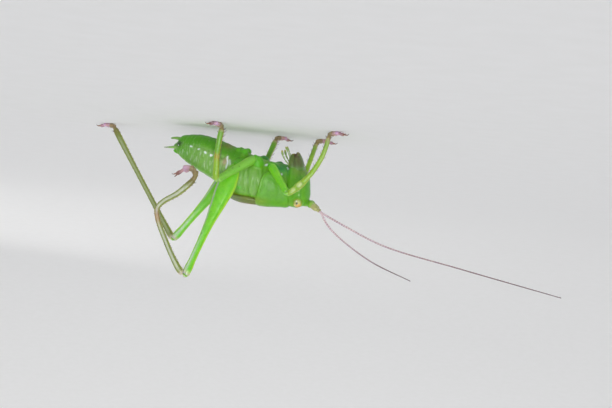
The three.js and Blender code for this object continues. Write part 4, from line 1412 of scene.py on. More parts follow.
@dataclass
class Head:
    """The head's case with its eyes, mouth and palps."""

    trunk: Trunk
    bottom: float = 4.35
    top: float = 9.4
    face: Profile = Profile((4.35, 6.5), (5.3, 7.1), (6.6, 7.32), (8, 7.38), (9, 7), (9.4, 6.3))
    nape: Profile = Profile((4.35, 4.95), (6, 4.72), (8, 4.7), (9, 4.75), (9.4, 5.2))
    cheek: Profile = Profile((4.35, 1.05), (5.3, 1.5), (6.6, 1.78), (8, 1.84), (8.9, 1.42), (9.4, 0.65))
    eye_centre: Place = (6.1, 1.66, 8.67)
    eye_radii: Place = (0.45, 0.41, 0.48)
    lens_count: int = 620
    lens_reach: float = 0.095  # the angle from a lens's middle to its border
    lens_height: float = 0.01
    voxel: float = 0.07
    feeler_root: Place = (7.72, 0.5, 8.83)
    feeler_end: Place = (8.6, 0.74, 9.4)
    palps: tuple[tuple[str, tuple[Place, ...], tuple[float, ...], float], ...] = (  # path, joints, girth
        ("outer", ((4.85, 0.95, 4.25), (3.75, 1.2, 3.35), (3.62, 1.2, 2.25)), (0.1, 0.22, 0.46, 0.7), 0.14),
        ("inner", ((4.7, 0.42, 3.4), (4.4, 0.6, 2.6), (3.92, 0.6, 1.8)), (0.2, 0.5), 0.1),
    )

    def capsule(self) -> Shell:
        """The case alone, as an egg whose section is squared off.

        Returns:
            The case without its swellings.
        """
        t, angle = eased(np.linspace(0, 1, 122)[1:-1]), around(96)
        z = self.bottom + (self.top - self.bottom) * t
        crown = (1 - np.clip((t - 0.6) / 0.4, 0, 1) ** 2.8) ** (1 / 2.3)
        base = rounding(t / 0.09) * 0.35 + 0.65
        depth = (self.face(z) - self.nape(z)) / 2 * crown * base
        middle = (self.face(z) + self.nape(z)) / 2
        squareness = np.where(np.cos(angle) < 0, 3, 2.3)
        x = middle[:, None] + squared(np.cos(angle), squareness)[None] * depth[:, None]
        y = squared(np.sin(angle), 2.1)[None] * (self.cheek(z) * crown * base)[:, None]
        rings = rolled(grid(x, y, z[:, None]))
        return wrapped(rings, t, angle, (rings[0].mean(0), rings[-1].mean(0)))

    def swellings(self) -> list[Shell]:
        """The neck, the snout between the feelers, their sockets and the ledges that carry the eyes.

        Returns:
            The parts to melt into the case.
        """
        station, angle = np.linspace(4.3, 6.1, 40), around(96)
        grow = np.interp(station, (4.3, 4.6, 4.9, 5.4, 5.8, 6, 6.1), (-0.1, 0.06, 0.26, 0.34, 0.2, 0, -0.2))
        neck = self.trunk.surface(station[:, None], angle[::-1][None], grow[:, None], 2.4)
        shells, up = [wrapped(neck, station, angle, (neck[0].mean(0), neck[-1].mean(0)))], (0, 0, 1)
        snout = Line.straight(*placed((6.3, 0, 8.5), (7.95, 0, 8.76)))
        shells.append(loft(snout, up, lambda t: (0.9 - 0.4 * t, 0.6 - 0.28 * t), 40, 50, None, (0.4, 0.35)))
        eye = np.array(self.eye_centre)
        for side in Side:
            root, end = placed(self.feeler_root, self.feeler_end, side=side)
            ahead = unit(end - root)
            socket = Line.straight(root - ahead * 0.6, root + ahead * 0.16)
            shells.append(loft(socket, up, (0.47, 0.45), 32, 24, None, (0.3, 0.12)))
            ledge = Line.straight(*placed(eye - (0, 0.8, 0.15), eye + (0, 0.08, 0), side=side))
            shells.append(
                loft(ledge, up, lambda t: (0.66 - 0.14 * t, 0.68 - 0.15 * t), 40, 30, None, (0.3, 0.2))
            )
        return shells

    def case(self) -> Shell:
        """The finished case, with its seams, pits and masks.

        Returns:
            The case.
        """
        skin = fused([self.capsule(), *self.swellings()], self.voxel)
        x, y, z = unrolled(skin.points).T
        wide = np.abs(y)
        to_eye, to_root = (
            np.sqrt((x - place[0]) ** 2 + (wide - place[1]) ** 2 + (z - place[2]) ** 2)
            for place in (self.eye_centre, self.feeler_root)
        )
        cheek_seam = near(x, 6.35 + 0.12 * (z - 6.5), 0.06) * climb(wide, 0.8, 1.1) * climb(z, 8.3, 7.7)
        lip_seam = near(z, 5.35 - 0.25 * (1 - np.minimum(wide / 0.9, 1)), 0.055) * climb(x, 6.3, 6.6)
        brow_seam = near(wide, 0.62 + 0.18 * (z - 7), 0.05) * climb(x, 6.7, 6.95)
        brow_seam *= climb(z, 5.4, 5.9) * climb(z, 8.2, 7.8)
        crown_line = near(wide, 0, 0.04) * climb(z, 8.9, 9.1) * climb(x, 6.6, 6.2)
        pits = np.minimum(Ripple(0.3, 31)(skin.points), 0)
        relief = -0.045 * cheek_seam - 0.05 * lip_seam - 0.025 * brow_seam - 0.03 * crown_line
        relief += 0.012 * pits + 0.012 * Ripple(1.2, 32)(skin.points)
        relief += 0.03 * near(to_eye, 0.56, 0.07) - 0.05 * near(to_eye, 0.74, 0.07)
        skin.push(relief)
        skin.along = np.clip((z - self.bottom) / (self.top - self.bottom), 0, 1)
        skin.angle = np.arctan2(y, x - 6)
        return skin.paint(
            crown=climb(z, 8.6, 9.2),
            groove=np.maximum(cheek_seam, np.maximum(lip_seam, brow_seam)),
            brow=near(to_eye, 0.53, 0.1) * (0.25 + 0.75 * climb(z, 8.7, 9)),
            face=climb(x, 6.7, 7.2) * climb(z, 8.2, 7.6),
            mouth=climb(z, 5.6, 4.7) * climb(x, 4.9, 5.3),
            teal=near(x, 4.3, 0.5) * near(z, 4.7, 0.8),
            glint=near(np.hypot(x - 4.5, z - 4.5), 0, 0.12),
            socket=near(to_root, 0.42, 0.12) * climb(x, 7.4, 7.6),
        )

    def eye(self, side: Side) -> Shell:
        """A compound eye: a ball set with small domes, with its dark spot facing outwards.

        Args:
            side: Its side.

        Returns:
            The eye.
        """
        ball = unit_ball()
        way = ball.points
        gap = np.arccos(np.clip(way @ golden_points(self.lens_count).T, -1, 1)).min(1)
        dome = np.clip(1 - (gap / self.lens_reach) ** 2, 0, 1)
        turn = np.arccos(np.clip(way @ unit(np.array([0, 0.98 * side.value, 0.1])), -1, 1))
        ring = np.arctan2(way[:, 0], way[:, 2])
        ghosts = near(turn, 0.62, 0.1) * climb(np.cos(ring * 6), 0.3, 0.9)
        middle = placed(self.eye_centre, side=side)[0]
        ball.points = middle + way * np.array(self.eye_radii) + way * (self.lens_height * dome)[:, None]
        edge = way @ unit(np.array([0.35, 0.15 * side.value, 1]))
        return ball.paint(
            pupil=climb(turn, 0.36, 0.26),
            ghost=ghosts,
            rim=climb(edge, 0.35, 0.8),
            lower=climb(way[:, 2], 0.2, -0.5),
            glint=climb(way @ unit(np.array([-0.18, 0.85 * side.value, -0.45])), 0.965, 0.985),
        )

    def lip(self) -> Shell:
        """The upper lip, a soft flap with a paler edge and a cross fold.

        Returns:
            The lip.
        """
        path = Line.bent(*placed((6.25, 0, 5.3), (6.3, 0, 3.75), (5.35, 0, 2.42)))
        wide = Profile((0, 1.05), (0.3, 1), (0.45, 0.8), (0.85, 0.64), (1, 0.42))

        def folds(t: Array, angle: Array) -> Array:
            """A cross fold near the top and two grooves down the flap.

            Args:
                t: Shares of the length.
                angle: Angles around it.

            Returns:
                How far the surface stands out.
            """
            front = climb(np.sin(angle), 0, 0.4)
            grooves = near(np.abs(np.cos(angle)), 0.45, 0.08) * climb(t, 0.35, 0.5)
            return front * (-0.06 * near(t, 0.36, 0.035) + 0.03 * near(t, 0.3, 0.05) - 0.03 * grooves)

        flap = loft(path, (1, 0, 0.4), lambda t: (wide(t), 0.36 - 0.14 * t), 72, 110, folds, (0.25, 0.3))
        t, streaks = flap.along, Ripple(0.35, 38, (1, 1, 3))(flap.points)
        brown = climb(np.abs(np.cos(flap.angle)), 0.55, 0.95) * near(t, 0.6, 0.3) * climb(streaks, -0.8, 0.6)
        edge, root, tip = climb(t, 0.93, 0.98), climb(t, 0.5, 0.2), climb(t, 0.8, 1)
        return flap.paint(edge=edge, root=root, tip=tip, brown=brown)

    def jaw(self, side: Side) -> Shell:
        """One jaw behind the lip: broad at its root, with a dark toothed edge.

        Args:
            side: Its side.

        Returns:
            The jaw.
        """
        path = Line.bent(*placed((5.5, 0.72, 5.3), (5.6, 0.95, 3.7), (5.35, 0.3, 2.6), side=side))
        wide, deep = Profile((0, 0.5), (0.5, 0.4), (1, 0.16)), Profile((0, 0.72), (0.5, 0.6), (1, 0.24))

        def teeth(t: Array, angle: Array) -> Array:
            """Small teeth on the inner side, near the tip, and a fold down the outer side.

            Args:
                t: Shares of the length.
                angle: Angles around it.

            Returns:
                How far the surface stands out.
            """
            out = np.cos(angle) * side.value
            inner, outer = climb(-out, 0.2, 0.8), climb(out, 0.3, 0.8)
            saw = 0.05 * inner * climb(t, 0.6, 0.7) * np.maximum(np.cos(t * 60), 0)
            return saw - 0.04 * outer * near(np.sin(angle) + 0.35 * t, 0.25, 0.12) * climb(t, 0.2, 0.4)

        shell = loft(path, (1, 0, 0), lambda t: (wide(t), deep(t)), 48, 90, teeth, (0.3, 0.15))
        t, back = shell.along, -np.sin(shell.angle)
        # edge: a near-white line down the jaw's back, a painted highlight
        edge = climb(back, 0.8, 0.97) * climb(t, 0.25, 0.45) * climb(t, 0.9, 0.75)
        streaks = Ripple(0.35, 37, (1, 1, 3))(shell.points)
        brown = climb(back, 0.6, 0.2) * climb(t, 0.3, 0.6) * climb(streaks, -0.8, 0.6)
        return shell.paint(tip=climb(t, 0.7, 0.92), edge=edge, root=climb(t, 0.5, 0.25), brown=brown)

    def cheek_lobe(self, side: Side) -> Shell:
        """The second jaw (maxilla) at the side of the mouth, which carries the outer palp.

        Args:
            side: Its side.

        Returns:
            The lobe.
        """
        path = Line.bent(*placed((5.1, 0.85, 4.95), (4.75, 1.1, 3.7), (4.95, 0.5, 2.65), side=side))
        wide = Profile((0, 0.42), (0.4, 0.42), (0.8, 0.28), (1, 0.14))
        shell = loft(path, (0, 1, 0), lambda t: (wide(t), 0.26 - 0.08 * t), 40, 80, None, (0.2, 0.12))
        t = shell.along
        edge = climb(np.abs(np.cos(shell.angle)), 0.85, 0.98) * climb(t, 0.15, 0.4)
        return shell.paint(edge=edge, root=climb(t, 0.45, 0.15), tip=climb(t, 0.88, 1))

    def lower_lip(self) -> Shell:
        """The lower lip, split at its end.

        Returns:
            The lip.
        """
        path = Line.straight(*placed((4.98, 0, 4.45), (4.6, 0, 2.95)))

        def split(t: Array, angle: Array) -> Array:
            """The cleft down the middle of the lip."""
            return -0.1 * near(np.abs(np.sin(angle)), 1, 0.06) * climb(t, 0.4, 0.75)

        shell = loft(path, (1, 0, 0), lambda t: (0.75 - 0.25 * t, 0.26), 64, 70, split, (0.2, 0.3))
        return shell.paint(edge=climb(shell.along, 0.88, 0.98), root=climb(shell.along, 0.6, 0.3))

    def palp(self, joints: Sequence[Place], side: Side, cuts: Sequence[float], girth: float) -> Shell:
        """One palp: a row of joints, the last one club-shaped with a soft pale end.

        Args:
            joints: Its base, bend and tip on the left side.
            side: Its side.
            cuts: Where its joints are, as shares of its length.
            girth: Its half-thickness near its end.

        Returns:
            The palp.
        """
        path = Line.bent(*placed(*joints, side=side))
        pairs = ((0, 0.8), (0.3, 0.6), (0.6, 0.66), (0.86, 1.05), (1, 0.7))

        def waists(t: Array, angle: Array) -> Array:
            """The narrow membrane between two joints."""
            return sum(-0.045 * near(t, cut, 0.02) + 0.015 * near(t, cut - 0.05, 0.03) for cut in cuts)

        thick = Profile(*((place, girth * value) for place, value in pairs))
        shell = loft(path, (0, 1, 0), thick, 28, 130, waists, (0.15, 0.14))
        joint = np.clip(sum(near(shell.along, cut, 0.03) for cut in cuts), 0, 1)
        return shell.paint(joint=joint, tip=climb(shell.along, 0.86, 0.96))

    def build(self, bench: Bench) -> None:
        """Makes every piece of the head.

        Args:
            bench: Where pieces are made.
        """
        case = self.case()
        bench.place("head_case", case, HEAD_GREEN, "body_green", ["head"])
        hairs, roots = Coat(spacing=0.4, length=0.1).grow(case, np.array([0.3, 0, -1]))
        bench.place("head_hairs", hairs, HAIR, "body_green", roots=roots)
        for side in Side:
            word = side.name.lower()
            bench.place(f"eye_{word}_facets", self.eye(side), EYE, "eye_facets", [f"eye_{word}"])
            bench.place(f"jaw_{word}_toothed", self.jaw(side), JAW_HORN, "mouth_brown", [f"jaw_{word}"])
            bench.place(f"cheek_lobe_{word}", self.cheek_lobe(side), MOUTH_BROWN, "mouth_brown")
            for pair, path, cuts, girth in self.palps:
                name = f"palp_{pair}_{word}"
                palp = self.palp(path, side, cuts, girth)
                bench.place(name + "_jointed", palp, PALP_GREEN, "pale_green", [name])
        bench.place("upper_lip", self.lip(), MOUTH_BROWN, "mouth_brown", ["lip"])
        bench.place("lower_lip_cleft", self.lower_lip(), MOUTH_BROWN, "body_green", ["lower_lip"])


def unit_ball() -> Shell:
    """A ball of radius 1 with its poles on Y.

    Returns:
        The ball.
    """
    t, angle = np.linspace(0, 1, 66)[1:-1], around(96)
    polar = math.pi * t[:, None]
    points = grid(np.sin(polar) * np.cos(angle), np.cos(polar), np.sin(polar) * np.sin(angle))
    return wrapped(points[:, ::-1], t, angle[::-1], (np.array([0, 1, 0]), np.array([0, -1, 0])))


def golden_points(count: int) -> Array:
    """Points spread evenly over a ball of radius 1, as seeds are in a sunflower.

    Args:
        count: How many.

    Returns:
        The points.
    """
    k = np.arange(count) + 0.5
    polar, turn = np.arccos(1 - 2 * k / count), math.pi * (1 + math.sqrt(5)) * k
    return grid(np.cos(turn) * np.sin(polar), np.cos(polar), np.sin(turn) * np.sin(polar))


@dataclass
class Feeler:
    """A long feeler: a thick first joint, a bead, and a whip of short rings."""

    side: Side
    base: tuple[Place, Place]
    path: tuple[Place, ...]
    setback: float = 0.22  # from the first joint's end to the whip
    ring_pitch: float = 0.34
    thickness: Profile = Profile((0, 0.15), (0.04, 0.125), (0.3, 0.1), (0.7, 0.075), (1, 0.05))

    def root(self) -> Shell:
        """The first joint and the bead on it.

        Returns:
            The two joints with their masks.
        """
        start, end = (rolled(place) for place in self.base)
        ahead = unit(end - start)
        thick = Profile((0, 0.26), (0.2, 0.34), (0.6, 0.34), (0.9, 0.28), (1, 0.2))

        def dents(t: Array, angle: Array) -> Array:
            """The waist above the root, and three soft flutes."""
            return -0.03 * near(t, 0.12, 0.04) + 0.012 * np.cos(3 * angle)

        path = Line.straight(start - ahead * 0.1, end - ahead * 0.05)
        first = loft(path, (0, 0, 1), thick, 40, 60, dents, (0.15, 0.15))
        path = Line.straight(end - ahead * 0.15, end + ahead * 0.3)
        bead = loft(path, (0, 0, 1), lambda t: (0.2 - 0.03 * t, 0.2 - 0.03 * t), 28, 24, None, (0.12, 0.14))
        first.paint(root=climb(first.along, 0.25, 0.05), joint=near(first.along, 0.12, 0.05))
        bead.paint(joint=climb(bead.along, 0.6, 0.9))
        return joined([first, bead])

    def whip(self) -> Shell:
        """The whip with its rings, each a little wider at its far end.

        Returns:
            The whip.
        """
        start, end = (rolled(place) for place in self.base)
        line = Line.through([end + unit(end - start) * self.setback, *self.path])
        count = int(line.length / self.ring_pitch)

        def collars(t: Array, angle: Array) -> Array:
            """The collar at the end of each ring."""
            share = (t * count) % 1
            return self.thickness(t) * (0.16 * share**3 - 0.1 * near(share, 0, 0.12))

        shell = loft(line, (0, 0, 1), self.thickness, 10, count * 6, collars, (0.1, 0.1), True)
        share = (shell.along * count) % 1
        far = climb(shell.along, 0.08, 0.95) ** 0.8
        return shell.paint(far=far, band=climb(share, 0.7, 0.9) * climb(shell.along, 0.02, 0.06))

    def build(self, bench: Bench) -> None:
        """Makes both pieces.

        Args:
            bench: Where pieces are made.
        """
        word = self.side.name.lower()
        bench.place(f"feeler_{word}_root", self.root(), FEELER_BASE, "feeler_base", [f"antenna_{word}_base"])
        lengths = [f"antenna_{word}_1", f"antenna_{word}_2"]
        bench.place(f"feeler_{word}_whip", self.whip(), FEELER, "feeler", lengths)


class LegKind(Enum):
    """Which pair a leg belongs to."""

    FRONT = "front"
    MIDDLE = "middle"
    HIND = "hind"


SLIM_THIGH = Profile((0, 0.34), (0.12, 0.52), (0.4, 0.5), (0.8, 0.4), (0.93, 0.43), (1, 0.36))
HIND_THIGH_DEPTH = Profile(
    (0, 0.4), (0.06, 0.8), (0.2, 1.16), (0.34, 0.95), (0.52, 0.57),
    (0.7, 0.42), (0.86, 0.41), (0.95, 0.5), (1, 0.42),
)
HIND_THIGH_WIDTH = Profile((0, 0.3), (0.18, 0.66), (0.45, 0.48), (0.72, 0.34), (0.95, 0.42), (1, 0.34))
SHIN_SIZE = {
    LegKind.FRONT: Profile((0, 0.3), (0.07, 0.37), (0.2, 0.45), (0.36, 0.34), (0.7, 0.3), (1, 0.28)),
    LegKind.MIDDLE: Profile((0, 0.31), (0.07, 0.39), (0.22, 0.37), (0.7, 0.35), (0.94, 0.36), (1, 0.29)),
    LegKind.HIND: Profile((0, 0.32), (0.05, 0.42), (0.18, 0.36), (0.6, 0.33), (0.94, 0.4), (1, 0.32)),
}
SPINE_ROWS = {  # angle, number, first and last place, and length
    LegKind.FRONT: (
        (math.pi - 0.5, 7, 0.36, 0.92, 0.42), (math.pi + 0.5, 7, 0.4, 0.94, 0.42),
        (2 * math.pi - 0.2, 3, 0.5, 0.9, 0.252),
    ),
    LegKind.MIDDLE: (
        (-0.5, 7, 0.36, 0.92, 0.55), (0.5, 7, 0.4, 0.94, 0.55), (math.pi - 0.2, 3, 0.5, 0.9, 0.33),
    ),
    LegKind.HIND: (
        (0.35, 22, 0.1, 0.95, 0.17), (-0.35, 22, 0.12, 0.95, 0.17),
        (math.pi - 0.35, 9, 0.2, 0.9, 0.13), (math.pi + 0.35, 9, 0.25, 0.9, 0.13),
    ),
}
SPURS = (0.5, -0.5, math.pi - 0.5, math.pi + 0.5)  # the angles of the spurs at the shin's end
EARS = (0.215, 0.1)  # the places of a front shin's ear openings, as shares of its length
FOOT_REACH = (0, 0.75, 1.2, 1.7, 2.5)  # the joints of a standing foot, from the ankle
FOOT_HEIGHT = (0.4, 0.24, 0.22, 0.22, 0.34)


@dataclass
class Leg:
    """One leg from the hip out: thigh, shin, foot, claws, spines and hairs."""

    kind: LegKind
    side: Side
    root: Place
    hip: Place
    knee: Place
    ankle: Place | None = None
    bow: Place = (0, 0, 0)
    toes: Place = (1, 0, 0)
    shin_path: tuple[Place, ...] = ()
    foot_path: tuple[Place, ...] = ()
    foot_up: Place = (0, 0, 1)
    dot: float = 0.075  # the radius of a dark dot on the thigh
    spine_radius: float = 0.035
    spur_length: float = 0.34
    spur_place: float = 0.975  # the spurs' place, as a share of the shin

    @property
    def name(self) -> str:
        """The leg's name, such as front_left."""
        return f"{self.kind.value}_{self.side.name.lower()}"

    @property
    def lifted(self) -> bool:
        """True for the leg that is off the floor."""
        return bool(self.shin_path)

    @property
    def hind(self) -> bool:
        """True for a jumping leg."""
        return self.kind is LegKind.HIND

    def shin_line(self) -> Line:
        """The line down the middle of the shin.

        Returns:
            The line, from knee to ankle.
        """
        if self.lifted:
            return Line.through(self.shin_path)
        knee, ankle, bow = (np.array(place) for place in (self.knee, self.ankle, self.bow))
        return Line.bent(knee, (knee + ankle) / 2 + bow * 2, ankle)

    def thigh(self) -> Shell:
        """The thigh, with its keels and the two lobes that hold the knee.

        Returns:
            The thigh.
        """
        hind = self.hind
        line = Line.straight(self.hip, self.knee)
        wide, deep = (HIND_THIGH_WIDTH, HIND_THIGH_DEPTH) if hind else (SLIM_THIGH, SLIM_THIGH)
        up = (-1, 0, 0.2) if hind else (0, 0, 1)

        def keels(t: Array, angle: Array) -> Array:
            """Keels along both edges, a groove beside each, and faint slanting ribs on the thick part.

            Args:
                t: Shares of the length.
                angle: Angles around it.

            Returns:
                How far the surface stands out.
            """
            edge = np.abs(np.sin(angle))
            body = climb(t, 0.04, 0.12) * climb(t, 0.97, 0.9)
            keel = near(edge, 1, 0.03 if hind else 0.05) * (0.05 if hind else 0.035)
            groove = near(edge, 0.8, 0.1) * (0.03 if hind else 0.018)
            ribs = np.cos((t * line.length / 0.62 - 0.9 * edge) * 2 * math.pi)
            thick = climb(t, 0.55, 0.4) * climb(edge, 0.75, 0.5) * hind
            knob = 0.03 * near(t, 0.945, 0.02) * climb(np.abs(np.cos(angle)), 0.4, 0.8)
            return (keel - groove) * body + 0.003 * ribs * thick * body + knob

        sides, rings = (96, 220) if hind else (64, 130)
        shell = loft(line, up, lambda t: (wide(t), deep(t)), sides, rings, keels, (0.45, 0.34))
        shell.push(0.007 * Ripple(0.8, 41)(shell.points) + 0.003 * Ripple(0.25, 42)(shell.points))
        sin, t = np.sin(shell.angle), shell.along
        masks = {
            "root": climb(t, 0.12, 0),
            "edge": climb(np.abs(sin), 0.84, 0.97) * (0.9 if hind else 0.15) * climb(t, 0.02, 0.1),
            "knee": climb(t, 0.93, 0.985) * (0.8 if hind else 0.2),
            "soft": self.kind is LegKind.MIDDLE,
            "dots": self.dots(shell, 26 if hind else 8) * climb(t, 0.05, 0.1) * climb(t, 0.8, 0.7),
        }
        if hind:
            masks["lilac"] = near(sin, 0.86, 0.07) * climb(t, 0.08, 0.14) * climb(t, 0.62, 0.5)
            # sheen: a painted highlight, whitish down the middle of the hind thigh's lower half
            masks["sheen"] = near(sin, 0.35, 0.4) * climb(t, 0.5, 0.85) * climb(t, 1, 0.97)
        shell.paint(**masks)
        return joined([shell, *self.knee_lobes(line)])

    def dots(self, shell: Shell, count: int) -> Array:
        """A mask of small round dots at random places.

        Args:
            shell: What they lie on.
            count: How many.

        Returns:
            The mask.
        """
        draws = np.random.default_rng(SEED + len(self.name) * 31 + ord(self.name[-1]))
        centres = shell.points[draws.choice(len(shell.points), count)]
        total = np.zeros(len(shell.points))
        for centre in centres:
            total = np.maximum(total, near(np.linalg.norm(shell.points - centre, axis=1), 0, self.dot))
        return total

    def knee_lobes(self, line: Line) -> list[Shell]:
        """The two lobes at the end of the thigh that the shin turns between.

        Args:
            line: The line down the middle of the thigh.

        Returns:
            The lobes with their masks.
        """
        forward = line.heading(1)
        shin = self.shin_line().heading(0)
        axis = unit(np.cross(forward, shin))
        size = Profile((0, 0.16), (0.5, 0.31), (1, 0.2))
        pale, soft = 0.85 if self.hind else 0.3, self.kind is LegKind.MIDDLE
        lobes = []
        for sign in (1, -1):
            centre = np.array(self.knee) + axis * sign * (0.34 if self.hind else 0.28) * 0.62
            end = centre + forward * 0.16 + shin * 0.12
            lobe = Line.bent(centre - forward * 0.55, centre - forward * 0.1, end)
            shell = loft(lobe, tuple(axis), lambda t: (size(t), 0.14), 28, 36, None, (0.3, 0.22))
            lobes.append(shell.paint(knee=climb(shell.along, 0.55, 0.95) * pale, soft=soft))
        return lobes

    def shin(self) -> Shell:
        """The shin, with its keels, and with the ear openings on a front leg.

        Returns:
            The shin.
        """
        line = self.shin_line()
        hind, front = self.hind, self.kind is LegKind.FRONT

        def to_ear(place: float, length: float, width: float, t: Array, angle: Array) -> Array:
            """How far a point is from an ear opening, where 1 is its border."""
            return np.hypot((t - place) * line.length / length, (np.abs(np.sin(angle)) - 1) / width)

        def keels(t: Array, angle: Array) -> Array:
            """Four keels, the grooves between them and the ears.

            Args:
                t: Shares of the length.
                angle: Angles around it.

            Returns:
                How far the surface stands out.
            """
            body = climb(t, 0.05, 0.1) * climb(t, 0.99, 0.93)
            keel = 0.035 if hind else 0.02
            ridges = (keel * near(np.cos(2 * angle + math.pi / 2) ** 2, 1, 0.25) - keel * 0.45) * body
            for place, deep in zip(EARS, (0.1, 0.05)) if front else ():
                ring = to_ear(place, 0.5, 0.32, t, angle)
                ridges = ridges - deep * climb(ring, 1, 0.6) + 0.03 * near(ring, 1.15, 0.18)
            return ridges

        shell = loft(line, (0, 1, 0), SHIN_SIZE[self.kind], 56, 230, keels, (0.3, 0.3))
        shell.push(0.008 * Ripple(0.7, 51)(shell.points) + 0.004 * Ripple(0.22, 52)(shell.points))
        t, across = shell.along, np.abs(np.cos(shell.angle))
        masks = {"edge": climb(across, 0.72, 0.92), "far": climb(t, 0.55, 1), "foot": climb(t, 0.9, 1)}
        if hind:
            tracks = near(across, 0.42, 0.07) + 0.8 * near(across, 0, 0.05)
            broken = climb(Ripple(0.24, 53)(shell.points), 0, 0.5)
            # centre: the chalky stripe, at full strength on the lifted shin, where it is also a painted
            # highlight
            centre = (1 if self.lifted else 0.4) * climb(across, 0.6, 0.2)
            masks |= {
                "centre": centre * climb(t, 0.02, 0.08) * climb(t, 0.97, 0.86),
                "dots": tracks * broken * climb(t, 0.04, 0.1) * climb(t, 0.95, 0.9),
                "far": climb(t, 0.9, 0.98),
                "knee": climb(t, 0.05, 0.01),
                "blush": near(t, 0.53, 0.06) * self.lifted,
            }
        if front:
            large, small = (to_ear(place, 0.46, 0.28, t, shell.angle) for place in EARS)
            masks["ear"] = np.maximum(climb(large, 1.1, 0.5), 0.8 * climb(small, 1.1, 0.4))
        if self.kind is LegKind.MIDDLE:
            masks |= {
                "blush": 0.6 * near(t, 0.46, 0.06) * climb(np.sin(shell.angle), -0.2, 0.5),
                "far": climb(t, 0.8, 1) * 0.5,
                "leaf": climb(t, 0.35, 0.6) * climb(across, 0.95, 0.6),
            }
        return shell.paint(**masks)

    def foot_joints(self) -> Array:
        """The joints of the foot, from the ankle to the claws.

        Returns:
            Five points.
        """
        if self.lifted:
            return np.array(self.foot_path)
        out = unit(np.array(self.toes))
        joints = np.array(self.ankle)[None] + out[None] * np.array(FOOT_REACH)[:, None]
        joints[:, 2] = FOOT_HEIGHT
        return joints

    def foot(self) -> Shell:
        """The foot: two padded joints, the two-lobed one, and the slim one that carries the claws.

        Returns:
            The foot.
        """
        joints, up = self.foot_joints(), self.foot_up
        plump = 1.35 if self.lifted else 1.12
        shape = Profile((0, 0.75), (0.35, 0.85), (0.8, 1.12), (1, 0.9))

        def pads(t: Array, angle: Array) -> Array:
            """The groove between the two pads under a joint."""
            return -0.05 * near(np.sin(angle), -1, 0.1) * climb(t, 0.3, 0.6) + 0.01 * np.cos(t * 25)

        shells = []
        brown = (1, 0.9) if self.lifted else (0.9, 0.2)
        for start, end, wide, deep, share in zip(joints, joints[1:], (0.27, 0.3), (0.27, 0.25), brown):
            ahead = unit(end - start)
            line = Line.straight(start - ahead * 0.12, end + ahead * 0.1)
            shell = loft(
                line, up, lambda t: (wide * plump * shape(t), deep * plump * shape(t)),
                40, 40, pads, (0.16, 0.18),
            )
            shells.append(shell.paint(root=climb(shell.along, 1.5, 0.7) * share))
        shin = self.shin_line()
        bridge = Line.bent(shin.at(0.955), shin.at(1), joints[0] + unit(joints[1] - joints[0]) * 0.22)
        ankle = loft(bridge, up, (0.22 * plump, 0.22 * plump), 32, 30, None, (0.1, 0.15))
        shells.append(ankle.paint(root=1))
        ahead = unit(joints[3] - joints[2])
        across = unit(np.cross(ahead, up))
        size = Profile((0, 0.16), (0.5, 0.24), (0.85, 0.27), (1, 0.2))
        # pad: the pads' lilac, full on the standing feet, where it is partly their own colour and partly
        # painted glow of light shining through them
        pad, root = (0.6, 0.3) if self.lifted else (1, 0)
        for sign in (1, -1):
            pull = (joints[2] + joints[3]) / 2 + across * sign * 0.2
            line = Line.bent(joints[2] - ahead * 0.12, pull, joints[3] + across * sign * 0.3 + ahead * 0.08)
            lobe = loft(line, up, lambda t: (size(t) * plump, 0.21 * plump), 36, 40, None, (0.14, 0.24))
            shells.append(lobe.paint(pad=climb(lobe.along, 0.3, 0.7) * pad, root=root))
        tip = joints[4]
        forward = unit(tip - joints[3])
        pull = (joints[3] + tip) / 2 + np.array(up) * 0.08
        neck = Line.bent(joints[3] - forward * 0.16, pull, tip + forward * 0.06)
        slim = Profile((0, 0.16 * plump), (0.4, 0.15 * plump), (0.8, 0.19 * plump), (1, 0.15))
        last = loft(neck, up, slim, 30, 50, None, (0.12, 0.14))
        shells.append(last.paint(tip=climb(last.along, 0.1, 0.8) * (1 if self.lifted else 0.6)))
        return joined(shells).on_floor()

    def claws(self) -> Shell:
        """The pair of hooked claws.

        Returns:
            Both claws.
        """
        before, tip = self.foot_joints()[3:]
        up, forward = np.array(self.foot_up), unit(tip - before)
        across = unit(np.cross(forward, up))
        taper = Profile((0, 0.1), (0.3, 0.085), (0.8, 0.04), (1, 0.02))
        shells = []
        for sign in (1, -1):
            start = tip - forward * 0.08 + across * sign * 0.07
            pull = tip + forward * 0.42 + across * sign * 0.26 + up * 0.12
            end = tip + forward * 0.56 + across * sign * 0.3 - up * 0.2
            shell = loft(Line.bent(start, pull, end), self.foot_up, taper, 16, 36, None, (0.06, 0.03))
            shells.append(shell.paint(tip=climb(shell.along, 0.3, 0.9)))
        return joined(shells).on_floor()

    def spines(self) -> Shell:
        """All spines of the shin with the spurs at its end.

        Returns:
            The spines and spurs.
        """
        line = self.shin_line()
        draws = np.random.default_rng(SEED + ord(self.name[0]) + ord(self.name[-1]))
        rows = SPINE_ROWS[self.kind]
        t = [np.linspace(first, last, n) + draws.normal(0, 0.004, n) for _, n, first, last, _ in rows]
        angle = [turn + draws.normal(0, 0.06, n) for turn, n, *_ in rows]
        length = [long * draws.uniform(0.8, 1.15, n) for _, n, *_, long in rows]
        t = np.concatenate([*t, [self.spur_place] * len(SPURS)])
        angle = np.concatenate([*angle, SPURS])
        length = np.concatenate([*length, [self.spur_length] * len(SPURS)])
        forward = line.heading(t)
        across = unit(np.cross(forward, np.array([0, 1, 0])))
        above = np.cross(across, forward)
        out = across * np.cos(angle)[:, None] + above * np.sin(angle)[:, None]
        roots = line.at(t) + out * (SHIN_SIZE[self.kind](t) - 0.05)[:, None]
        droop = forward * 0.3 - out * 0.05
        return bristles(roots, out + forward * 0.75, droop, length, self.spine_radius, 7, 6)

